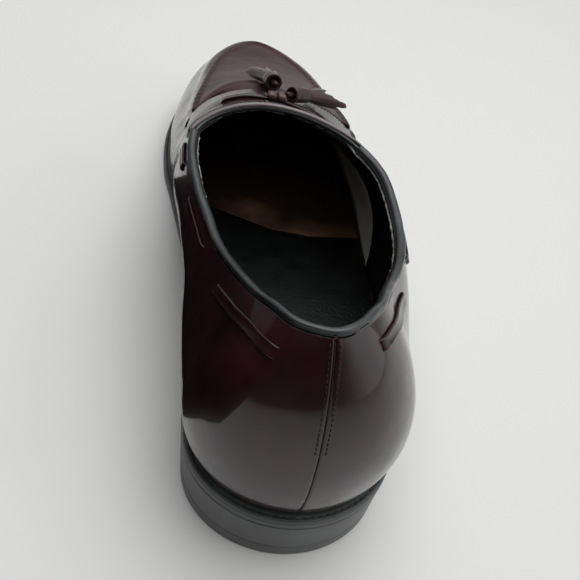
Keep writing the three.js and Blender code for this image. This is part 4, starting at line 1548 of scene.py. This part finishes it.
@dataclass
class Sole:
    """Outsole with its stitched ledge, heel block, insole and heel sock."""

    edge_bevel: float = 0.9
    heel_inset: float = 0.2
    heel_bevel: float = 0.9
    heel_taper: float = 0.6
    breast_hollow: float = 3.0
    insole_thick: float = 2.2
    insole_margin: float = 0.6
    sock_thick: float = 1.0
    sock_length: float = 157.0
    sock_bow: float = 68.0
    sock_bow_at: float = 29.0

    def stations(self) -> list[float]:
        """Places along the sole, close together round the heel and the toe.

        Returns:
            The places in order.
        """
        return unlike(
            spread(34, 0, 0.18, slow_start) + spread(50, 0.18, 0.74) + spread(40, 0.74, 1, slow_end)
        )

    def outsole(self) -> bpy.types.Object:
        """The outsole: a bevelled edge with a groove, and the ledge that carries the welt's stitches.

        Returns:
            The object.
        """
        stations = self.stations()
        thick = LAST.outsole_thick
        edge = [
            (0.9, 0.0), (0.4, 0.12), (0.12, 0.4), (0.0, 0.9), (0.0, 2.6), (0.05, 2.95), (0.32, 3.1), (0.06, 3.25),
            (0.0, 3.6), (0.1, 4.0), (0.3, 4.42), (0.6, thick), (1.1, thick), (1.35, thick - 0.28),
            (1.75, thick - 0.28), (2.0, thick), (2.6, thick),
        ]
        flat = 7

        def half_ring(at: float, side: int) -> list[Vector]:
            """One side of the section, from the middle below to the middle above.

            Args:
                at: Share of the way along the last.
                side: -1 for the inner side, 1 for the outer.

            Returns:
                The section's points.
            """
            ring = []
            for k in range(flat):
                p = LAST.rim(at, side, 0.9)
                middle = LAST.rim(at, -side, 0.9)
                ring.append((p.lerp(middle, 0.5 * (1 - k / flat)), 0.0))
            ring += [(LAST.rim(at, side, inset), height) for inset, height in edge]
            inner = LAST.rim(at, side, 2.6)
            other = LAST.rim(at, -side, 2.6)
            ring += [(inner.lerp(other, 0.5 * k / 2), thick) for k in (1, 2)]
            return [Vector((p.x, p.y, LAST.sole_line(p.y) + h)) for p, h in ring]

        rings = []
        for at in stations:
            inner, outer = half_ring(at, -1), half_ring(at, 1)
            rings.append(inner + outer[::-1][1:-1])
        size = len(rings[0])
        bm = bmesh.new()
        laid_grid(bm, len(stations) - 1, size, lambda i, j: rings[i][j % size])
        weld(bm, 0.002)
        bmesh.ops.recalc_face_normals(bm, faces=bm.faces)
        return piece(bm, "outsole_rubber", Finish.SOLE, ["outsole"])

    def welt_stitches(self) -> bpy.types.Object:
        """The thread in the ledge's channel, all the way round.

        Returns:
            The object.
        """
        line = []
        for side in SIDES:
            places = self.stations() if side < 0 else self.stations()[::-1][1:]
            for at in places:
                p = LAST.rim(at, side, 1.55)
                line.append((Vector((p.x, p.y, LAST.top(p.y) - 0.12)), Vector((0, 0, 1))))
        bm = bmesh.new()
        count = stitch_row(bm, line, 2.7, 0.34, fill=0.86)
        log.info("welt stitches: %d", count)
        return piece(bm, "welt_stitches", Finish.WELT_THREAD)

    def heel(self) -> bpy.types.Object:
        """The heel block: drawn in towards the floor, hollow at the breast, with a faint joint above the top lift.

        Returns:
            The object.
        """
        places = spread(40, 0, LAST.heel_length / LAST.length, slow_start)
        inner = [LAST.rim(at, -1, self.heel_inset) for at in places]
        outer = [LAST.rim(at, 1, self.heel_inset) for at in places]
        breast = []
        for k in range(1, 16):
            share = k / 16
            p = outer[-1].lerp(inner[-1], share)
            p.y -= self.breast_hollow * 4 * share * (1 - share)
            breast.append(p)
        outline = inner[::-1] + outer[1:] + breast
        centre = Vector((sum(p.x for p in outline) / len(outline), LAST.heel_round, 0))
        rows = [
            (0.0, 0.9), (0.1, 0.45), (0.35, 0.15), (0.9, 0.0), (5.2, 0.0), (5.5, 0.05), (5.65, 0.25), (5.8, 0.05),
            (6.1, 0.0), (12.0, 0.0), (17.6, 0.0), (18.1, 0.12), (18.4, 0.45), (18.5, 0.9),
        ]

        def place(i: int, j: int) -> Vector:
            """A corner of the heel's side.

            Args:
                i: Column of the grid.
                j: Row of the grid.

            Returns:
                The corner.
            """
            p = outline[i % len(outline)]
            height, inset = rows[j]
            draw = 1 - self.heel_taper / LAST.heel_round * (1 - height / LAST.heel_height)
            away = (p - centre).normalized()
            q = centre + (p - centre) * draw - away * inset
            return Vector((q.x, q.y, height))

        bm = bmesh.new()
        laid_grid(bm, len(outline), len(rows) - 1, place)
        weld(bm, 0.002)
        rims = [e for e in bm.edges if e.is_boundary]
        bmesh.ops.holes_fill(bm, edges=rims, sides=0)
        bmesh.ops.recalc_face_normals(bm, faces=bm.faces)
        obj = piece(bm, "heel_rubber", Finish.HEEL, ["heel_block"])
        split = obj.modifiers.new("flat faces", "EDGE_SPLIT")
        split.split_angle = math.radians(50)
        return obj

    def insole_inset(self) -> float:
        """How far the insole lies inside the outline."""
        return LAST.welt + LAST.wall + self.insole_margin

    def sheet(
        self, stations: Sequence[float], inset: float, base: float, thick: float, bow: bool
    ) -> bmesh.types.BMesh:
        """A soft flat sheet inside the shoe, crowned at its edge.

        Args:
            stations: Places along the sole.
            inset: How far it lies inside the outline.
            base: Height of its underside above the outsole.
            thick: Its thickness.
            bow: Whether its front edge bows as the sock's does.

        Returns:
            Its mesh.
        """
        across = unlike([0.006, 0.015, 0.03, 0.97, 0.985, 0.994] + spread(30, 0, 1))

        def place(i: int, j: int) -> Vector:
            """A corner of the sheet's skin: over the top, and back underneath.

            Args:
                i: Column of the grid.
                j: Row of the grid.

            Returns:
                The corner.
            """
            at = stations[i]
            upper = j < len(across)
            share = across[j] if upper else across[2 * len(across) - 1 - j]
            p = LAST.rim(at, -1, inset).lerp(LAST.rim(at, 1, inset), share)
            if bow:
                share_x = (p.x - self.sock_bow_at) / LAST.ball_width
                p.y += self.sock_bow * share_x**2 * at * LAST.length / self.sock_length
            width = (LAST.rim(at, 1, inset) - LAST.rim(at, -1, inset)).length
            edge = min(share, 1 - share) * width
            ahead = (stations[-1] - at) * LAST.length
            soft = thick * (1 - 0.75 * bell(min(edge, ahead), 0.5))
            p.z = LAST.top(p.y) + base + (soft if upper else 0.0)
            return p

        bm = bmesh.new()
        count = 2 * len(across)
        laid_grid(bm, len(stations) - 1, count, lambda i, j: place(i, j % count))
        weld(bm, 0.002)
        rims = [e for e in bm.edges if e.is_boundary]
        bmesh.ops.holes_fill(bm, edges=rims, sides=0)
        bmesh.ops.recalc_face_normals(bm, faces=bm.faces)
        return bm

    def inside(self) -> None:
        """The tan insole and the pebbled heel sock on it."""
        inset = self.insole_inset()
        bm = self.sheet(self.stations(), inset, LAST.gap, self.insole_thick, False)
        piece(bm, "tan_insole", Finish.INSOLE, ["insole"])
        end = self.sock_length / LAST.length
        places = unlike(
            spread(34, 0, 0.2, slow_start) + spread(40, 0.2, end - 0.01)
            + [end - 0.006, end - 0.003, end - 0.001, end]
        )
        bm = self.sheet(places, inset + LAST.gap, 2 * LAST.gap + self.insole_thick, self.sock_thick, True)
        piece(bm, "pebbled_heel_sock", Finish.SOCK, ["heel_sock"])

    def build(self) -> None:
        """Makes every piece of the sole and the inside."""
        self.outsole()
        self.welt_stitches()
        self.heel()
        self.inside()


class Run(NamedTuple):
    """A run of the lace outside the collar: its node, its side, shares of the collar length and its drop."""

    node: str
    side: int
    start: float
    end: float
    drop: float


class Tassel(NamedTuple):
    """A tassel: its node, mouth and tip from the knot, stem, strips' length and spread, and girth."""

    node: str
    mouth: tuple[float, float, float]
    tip: tuple[float, float, float]
    stem: float
    strips: float
    fan: float
    girth: float


@dataclass
class Lace:
    """The flat lace through the collar, its front ends over the saddle, the knot and the tassels."""

    width: float = 3.8
    thick: float = 1.2
    knot_x: float = -3.0
    knot_y: float = 168.5
    runs: tuple[Run, ...] = (
        Run("lace_run_inner_back", -1, 0.11, 0.37, 6.8),
        Run("lace_run_inner_middle", -1, 0.5, 0.7, 5.0),
        Run("lace_run_inner_front", -1, 0.81, 0.91, 5.0),
        Run("lace_run_outer_back", 1, 0.14, 0.38, 5.8),
        Run("lace_run_outer_middle", 1, 0.52, 0.65, 5.0),
        Run("lace_run_outer_front", 1, 0.74, 0.84, 5.0),
    )
    inner_end: tuple[tuple[float, float], ...] = ((-22.5, 3.0), (-18.5, 3.4), (-13.5, 3.0), (-8.5, 1.9), (-3.4, 0.6))
    outer_end: tuple[tuple[float, float], ...] = ((3.4, -0.4), (9.3, -2.6), (16.0, -5.2), (21.0, -7.4), (25.0, -9.2))
    tassels: tuple[Tassel, ...] = (
        Tassel("tassel_inner", (-0.4, 8.6, 1.6), (-2.0, 46.0, 0.3), 4.4, 22.0, 4.8, 1.22),
        Tassel("tassel_outer", (6.0, 2.3, 0.2), (33.0, 25.5, 5.0), 3.2, 17.5, 7.4, 1.12),
    )
    head_radius: float = 3.1
    head_length: float = 11.0
    head_hollow: float = 2.2
    strip_width: float = 3.1
    strip_thick: float = 0.9
    strip_count: int = 10

    def on_saddle(self, x: float, y: float, lift: float) -> tuple[Vector, Vector]:
        """A point above the saddle near the knot, and the direction off the leather.

        Args:
            x: Place beside the knot.
            y: Place ahead of the knot.
            lift: Height above the leather.

        Returns:
            The point and the direction.
        """
        at, u = LAST.under(self.knot_x + x, self.knot_y + y)
        n = LAST.normal(at, u)
        return LAST.point(at, u) + n * lift, n

    def strap(
        self, bm: bmesh.types.BMesh, line: Sequence[tuple[Vector, Vector]], width: float, thick: float
    ) -> None:
        """Adds a flat strap along points that each know the direction off the leather.

        Args:
            bm: The mesh to add to.
            line: Points with the direction off the leather.
            width: The strap's width.
            thick: Its thickness.
        """
        frames = []
        for i, (p, n) in enumerate(line):
            along = line[min(i + 1, len(line) - 1)][0] - line[max(i - 1, 0)][0]
            if abs(along.normalized().dot(n)) < 0.9:
                along = along - n * along.dot(n)
            along = along.normalized()
            across = along.cross(n).normalized()
            frames.append((p, across, across.cross(along).normalized()))
        sweep(bm, frames, lambda i: strap_section(width, thick))

    def run_pieces(self) -> None:
        """The six short runs of the lace, each going into its slots at both ends."""
        for run in self.runs:
            line = []
            for share in spread(28, run.start, run.end):

                def gap(k: float) -> float:
                    """How far a rib's lace point is behind the share.

                    Args:
                        k: The rib.

                    Returns:
                        The distance.
                    """
                    u = run.side * (1 - LAST.reach(k, run.side, run.drop))
                    return LAST.point(k, u).y - share * LAST.collar_length

                at = zero_of(gap, 0, LAST.throat)
                u = run.side * (1 - LAST.reach(at, run.side, run.drop))
                line.append((LAST.point(at, u), LAST.normal(at, u)))
            for _ in range(4):
                trio = [(line[i - 1], line[i], line[i + 1]) for i in range(1, len(line) - 1)]
                middle = [(calm(a[0], b[0], c[0]), calm(a[1], b[1], c[1]).normalized()) for a, b, c in trio]
                line = [line[0]] + middle + [line[-1]]
            marks = [0.0]
            for (a, _), (b, _) in zip(line, line[1:]):
                marks.append(marks[-1] + (b - a).length)
            laid = []
            for (p, n), mark in zip(line, marks):
                end = min(mark, marks[-1] - mark)
                laid.append((p + n * mix(-1.2, LAST.gap + 0.35, smooth_step(-0.2, 2.2, end)), n))
            bm = bmesh.new()
            self.strap(bm, laid, self.width, 0.8)
            piece(bm, run.node.replace("lace_run", "lace"), Finish.LACE, [run.node])

    def front(self) -> bpy.types.Object:
        """The lace over the saddle, from the inner slot through the knot to the outer slot.

        Returns:
            The object.
        """
        rise = LAST.gap + LAST.overlay + LAST.gap + self.thick / 2
        rows = self.inner_end + self.outer_end
        coarse = [self.on_saddle(x, y, rise) for x, y in rows]
        line = []
        for k in range(len(coarse) - 1):
            a, b, c, d = (coarse[clamp_index(k + m, len(coarse))] for m in (-1, 0, 1, 2))
            for step in range(4):
                s = step / 4
                p = spline(a[0], b[0], c[0], d[0], s)
                line.append((p, b[1].lerp(c[1], s).normalized()))
        line.append(coarse[-1])
        laid = []
        total = len(line) - 1
        for i, (p, n) in enumerate(line):
            end = min(i, total - i)
            laid.append((p - n * (2.2 * (1 - smooth_step(-0.3, 2.5, end))), n))
        bm = bmesh.new()
        self.strap(bm, laid, self.width, self.thick)
        obj = piece(bm, "front_lace", Finish.LACE, ["lace_end_inner", "lace_end_outer"])
        self.path = [to_frame(p) for p, _ in laid]
        return obj

    def knot(self) -> bpy.types.Object:
        """The knot: two turns of the lace drawn tight side by side, over a folded core.

        Returns:
            The object.
        """
        base, n = self.on_saddle(0, 0, LAST.gap + LAST.overlay + LAST.gap)
        x = (Vector((1, 0, 0)) - n * n.x).normalized()
        y = n.cross(x)
        bm = bmesh.new()
        for shift, lean, grow in ((-1.75, 0.3, 1.0), (1.75, -0.26, 1.05)):
            frames = []
            count = 32
            for i in range(count):
                a = 2 * math.pi * i / count
                out = y * math.cos(a) + n * math.sin(a)
                centre = base + n * 2.15 + x * (shift + lean * math.cos(a) * 2)
                centre += y * (math.cos(a) * 2.6 * grow) + n * (math.sin(a) * 1.45)
                frames.append((centre, x, out.normalized()))
            sweep(bm, frames, lambda i: [(a * 1.85, b * 0.6) for a, b in round_section(1.0, 14)], looped=True)
        core = []
        for share in spread(10, -3.4, 3.4):
            core.append((base + n * 2.05 + x * share, y, n))
        sweep(bm, core, lambda i: [(a * 1.9, b * 1.1) for a, b in round_section(1.0 - 0.12 * abs(i - 5) / 5, 12)])
        return piece(bm, "drawn_knot", Finish.KNOT, ["lace_knot"])

    def tassel(self, row: Tassel) -> bpy.types.Object:
        """A tassel: a rolled head with its stem in an open mouth, and cut strips that spread.

        Args:
            row: The tassel.

        Returns:
            The object.
        """
        rest = LAST.gap + LAST.overlay + LAST.gap + self.head_radius * row.girth
        start, up = self.on_saddle(row.mouth[0], row.mouth[1], rest + row.mouth[2])
        tip, _ = self.on_saddle(row.tip[0], row.tip[1], rest + row.tip[2])
        axis = (tip - start).normalized()
        up = (up - axis * up.dot(axis)).normalized()
        side = axis.cross(up)

        def place(out: float, turn: float, along: float) -> Vector:
            """A point round the tassel's axis."""
            return start + axis * along + (side * math.cos(turn) + up * math.sin(turn)) * out * row.girth

        bm = bmesh.new()
        profile = [
            (0.0, self.head_hollow), (2.15, self.head_hollow), (2.3, 0.3), (2.45, 0.05), (2.75, 0.0), (3.0, 0.15),
            (3.1, 0.5), (3.12, 2.2), (2.98, 2.5), (3.12, 2.8), (3.12, 5.0), (3.05, 8.0), (3.0, 9.2), (2.85, 9.5),
            (3.0, 9.8), (2.95, 10.8), (2.6, 11.0), (0.0, 11.0),
        ]
        turns = 36

        def head_place(i: int, j: int) -> Vector:
            """A corner of the rolled head: its outer turn ends in a small step along its length.

            Args:
                i: Column of the grid.
                j: Row of the grid.

            Returns:
                The corner.
            """
            out, along = profile[j]
            turn = 2 * math.pi * (i % turns) / turns
            step = 0.16 * (1 - (i % turns) / turns) if out > 2.4 else 0.0
            return place(out - 0.16 + step if out else 0.0, turn, along)

        part = bmesh.new()
        laid_grid(part, turns, len(profile) - 1, head_place)
        weld(part, 0.002)
        bmesh.ops.recalc_face_normals(part, faces=part.faces)
        mesh = bpy.data.meshes.new("head")
        part.to_mesh(mesh)
        part.free()
        bm.from_mesh(mesh)
        bpy.data.meshes.remove(mesh)

        stem = [(place(0, 0, along), side, up) for along in spread(8, -row.stem, self.head_hollow + 0.5)]
        sweep(bm, stem, lambda i: [(a, b * 0.8) for a, b in round_section(1.35, 12)])
        for layer, (count, ring, shorter) in enumerate(((self.strip_count, 2.0, 0.0), (5, 0.9, 2.0))):
            for k in range(count):
                turn = 2 * math.pi * (k + 0.5 * layer) / count
                jitter = noise.noise(Vector((k * 3.7 + layer * 11, row.stem * 2.3, 0.4)))
                half_turn = turn % math.pi / math.pi
                lean = (1 - 2 * half_turn) * (1 if turn < math.pi else -1)
                spread_out = math.copysign(abs(lean) ** 0.6, lean) * row.fan
                frames = []
                out_way = side * math.cos(turn) + up * math.sin(turn)
                for s in spread(12, 0, 1):
                    along = self.head_length - 1.5 + s * (row.strips - shorter + 2.2 * jitter)
                    droop = (-0.7 if math.sin(turn) > 0 else 0.2) * s * s
                    centre = start + axis * along
                    centre += side * (math.cos(turn) * ring + (spread_out + 0.9 * jitter) * s**1.4)
                    centre += up * (math.sin(turn) * min(ring + 0.35 * s, 2.4) + droop + 0.5 * jitter * s)
                    tilt = out_way.lerp(up, 0.5 * s).normalized()
                    across = axis.cross(tilt).normalized()
                    frames.append((centre, across, tilt))
                half, thin = self.strip_width / 2 * (0.75 if layer else 0.88), self.strip_thick / 2

                def section(i: int) -> list[tuple[float, float]]:
                    """A strip's section, narrower at its root and rounded at its tip.

                    Args:
                        i: Step along the strip.

                    Returns:
                        The section's points.
                    """
                    w = half * (0.75 + 0.25 * smooth_step(0, 5, i)) * (0.72 if i == 12 else 1.0)
                    return [(-w, -thin * 0.6), (-w, thin * 0.6), (-w * 0.6, thin), (w * 0.6, thin), (w, thin * 0.6),
                            (w, -thin * 0.6), (w * 0.6, -thin), (-w * 0.6, -thin)]

                sweep(bm, frames, section)
        return piece(bm, row.node.replace("tassel", "leather_tassel"), Finish.TASSEL, [row.node])

    def build(self) -> None:
        front = self.front()
        others = [self.knot()] + [self.tassel(row) for row in self.tassels]
        self.run_pieces()


def clamp_index(i: int, count: int) -> int:
    """An index kept inside a list."""
    return max(0, min(count - 1, i))


def spline(a: Vector, b: Vector, c: Vector, d: Vector, s: float) -> Vector:
    """A point on the smooth curve between b and c."""
    return 0.5 * (2 * b + (c - a) * s + (2 * a - 5 * b + 4 * c - d) * s**2 + (3 * b - a - 3 * c + d) * s**3)


@dataclass(frozen=True)
class Studio:
    """The camera of the photograph, the pale floor and the soft light."""

    camera_x: float = -56.8
    camera_y: float = -123.8
    camera_z: float = 249.0
    pitch: float = 51.7
    roll: float = -3.11
    yaw: float = -0.4
    focal: float = 436.4 / 580  # of the frame's width
    aim: tuple[float, float] = (377.5 - 290, 290 - 238.5)  # the shoe's middle from the photograph's, in its pixels
    zoom: float = 1.8

    def camera(self) -> bpy.types.Object:
        """The camera at the photograph's viewpoint, turned to frame the one shoe.

        Returns:
            The camera.
        """
        pitch, roll, yaw = (math.radians(a) for a in (self.pitch, self.roll, self.yaw))
        turn = Matrix.Rotation(yaw, 3, "Z")
        forward = turn @ Vector((0, math.cos(pitch), -math.sin(pitch)))
        plain_right = turn @ Vector((1, 0, 0))
        plain_up = turn @ Vector((0, math.sin(pitch), math.cos(pitch)))
        right = plain_right * math.cos(roll) - plain_up * math.sin(roll)
        up = plain_right * math.sin(roll) + plain_up * math.cos(roll)
        basis = Matrix((right, up, -forward)).transposed()
        focal = self.focal * 580
        aim = (forward * focal + right * self.aim[0] + up * self.aim[1]).normalized()
        swing = forward.rotation_difference(aim)
        data = bpy.data.cameras.new("photograph_view")
        data.sensor_width = 36
        data.lens = 36 * self.focal * self.zoom
        data.clip_start, data.clip_end = 0.01, 20
        obj = bpy.data.objects.new("photograph_view", data)
        bpy.context.scene.collection.objects.link(obj)
        obj.matrix_world = Matrix.Translation(
            to_frame(Vector((self.camera_x, self.camera_y, self.camera_z)))
        ) @ (swing.to_matrix() @ basis).to_4x4()
        bpy.context.scene.camera = obj
        return obj

    def light(
        self,
        name: str,
        place: tuple[float, float, float],
        size: tuple[float, float],
        power: float,
        aim: tuple[float, float, float],
        mirrored: bool = True,
    ) -> None:
        """Adds a soft area light.

        Args:
            name: Its name.
            place: Where it hangs, in metres.
            size: Its width and height, in metres.
            power: Its power in watts.
            aim: The point that it faces.
            mirrored: Whether polished leather mirrors it.
        """
        data = bpy.data.lights.new(name, "AREA")
        data.shape = "RECTANGLE"
        data.size, data.size_y = size
        data.energy = power
        obj = bpy.data.objects.new(name, data)
        bpy.context.scene.collection.objects.link(obj)
        obj.location = place
        obj.rotation_euler = (Vector(aim) - Vector(place)).to_track_quat("-Z", "Y").to_euler()
        obj.visible_glossy = mirrored

    def floor(self) -> None:
        """The pale sweep: flat under the shoe, rising far ahead of it."""
        bm = bmesh.new()
        bmesh.ops.create_grid(bm, x_segments=2, y_segments=90, size=0.5)
        for v in bm.verts:
            s = v.co.y + 0.5
            reach = -3.0 + 5.45 * s
            over = max(reach - 1.3, 0)
            turn = min(over / 0.5, 1) * math.pi / 2
            flat = min(reach, 1.3)
            rise = 0.0
            if over > 0:
                radius = 0.5 / (math.pi / 2)
                flat += radius * math.sin(turn)
                rise = radius * (1 - math.cos(turn)) + max(over - 0.5, 0)
            v.co = Vector((v.co.x * 8.0, flat, rise))
        bmesh.ops.recalc_face_normals(bm, faces=bm.faces)
        mesh = bpy.data.meshes.new("pale_sweep")
        for f in bm.faces:
            f.smooth = True
        bm.to_mesh(mesh)
        bm.free()
        obj = bpy.data.objects.new("pale_sweep", mesh)
        bpy.context.scene.collection.objects.link(obj)
        material, tree, shader = blank("pale_paper")
        shader.inputs["Base Color"].default_value = linear(0xE4E4E2)
        shader.inputs["Roughness"].default_value = 0.7
        mesh.materials.append(material)

    def flags(self) -> None:
        """Two black cards beside the inner quarter, out of sight, for the dark side of the polish."""
        upright = [
            (-0.1, 0.21, 0.0), (-0.1, 0.0, 0.0), (-0.1, -0.035, 0.017), (-0.1, -0.055, 0.049), (-0.1, -0.08, 0.092),
            (-0.1, 0.1, 0.088), (-0.1, 0.21, 0.07),
        ]
        # black_floor_card: a dark sheet on the floor beside the inner waist, where there is only shade; seen only in
        # reflections, as painted shade in the polish
        lying = [
            (-0.1, 0.0, 0.001), (-0.1, 0.19, 0.001), (-0.05, 0.17, 0.001), (-0.045, 0.06, 0.001),
            (-0.05, 0.02, 0.001),
        ]
        material, tree, shader = blank("black_card")
        shader.inputs["Base Color"].default_value = linear(0x0B0708)
        shader.inputs["Roughness"].default_value = 0.9
        shader.inputs["Specular IOR Level"].default_value = 0.1
        for name, corners in (("black_flag", upright), ("black_floor_card", lying)):
            bm = bmesh.new()
            bm.faces.new([bm.verts.new(corner) for corner in corners])
            mesh = bpy.data.meshes.new(name)
            bm.to_mesh(mesh)
            bm.free()
            obj = bpy.data.objects.new(name, mesh)
            bpy.context.scene.collection.objects.link(obj)
            mesh.materials.append(material)
            obj.visible_camera = False
            obj.visible_shadow = obj.visible_diffuse = False

    def world(self) -> None:
        """Pale surroundings ahead and to the right, and a dark room behind the camera and overhead."""
        world = bpy.data.worlds.new("studio_room")
        bpy.context.scene.world = world
        world.use_nodes = True
        tree = world.node_tree
        back = tree.nodes["Background"]
        way = node(tree, "TexCoord").outputs["Generated"]
        lean = node(tree, "VectorMath", {"operation": "DOT_PRODUCT", 1: (0.78, 0.62, -0.1)}, _0=way)
        ahead = node(
            tree, "MapRange", {"From Min": -0.25, "From Max": 0.45, "To Min": 0.0, "To Max": 1.0},
            Value=lean.outputs["Value"],
        )
        stops = [(0.0, 0x1E1E20), (0.45, 0x7A7B7C), (1.0, 0xECEEEE)]
        colour = node(tree, "ValToRGB", {"stops": stops}, Fac=ahead.outputs["Result"])
        tree.links.new(colour.outputs["Color"], back.inputs["Color"])
        back.inputs["Strength"].default_value = 1.02

    def build(self) -> None:
        """Sets the floor, the room round it, the black cards and the light."""
        self.floor()
        self.world()
        self.flags()
        self.light("overhead_softbox", (0.15, 0.45, 1.1), (1.2, 1.2), 9, (0.12, 0.4, 0))
        self.light("overhead_fill", (0.0, -0.4, 1.3), (1.4, 1.2), 6, (0, 0.1, 0), mirrored=False)
        scene = bpy.context.scene
        scene.view_settings.view_transform = "Standard"
        scene.view_settings.look = "None"


def main() -> None:
    """Builds the shoe and its studio, and reports each piece."""
    logging.basicConfig(level=logging.INFO, format="%(name)s: %(message)s")
    studio = Studio()
    studio.camera()
    Lace().build()
    Upper().build()
    Sole().build()
    studio.build()


if __name__ == "__main__":
    main()
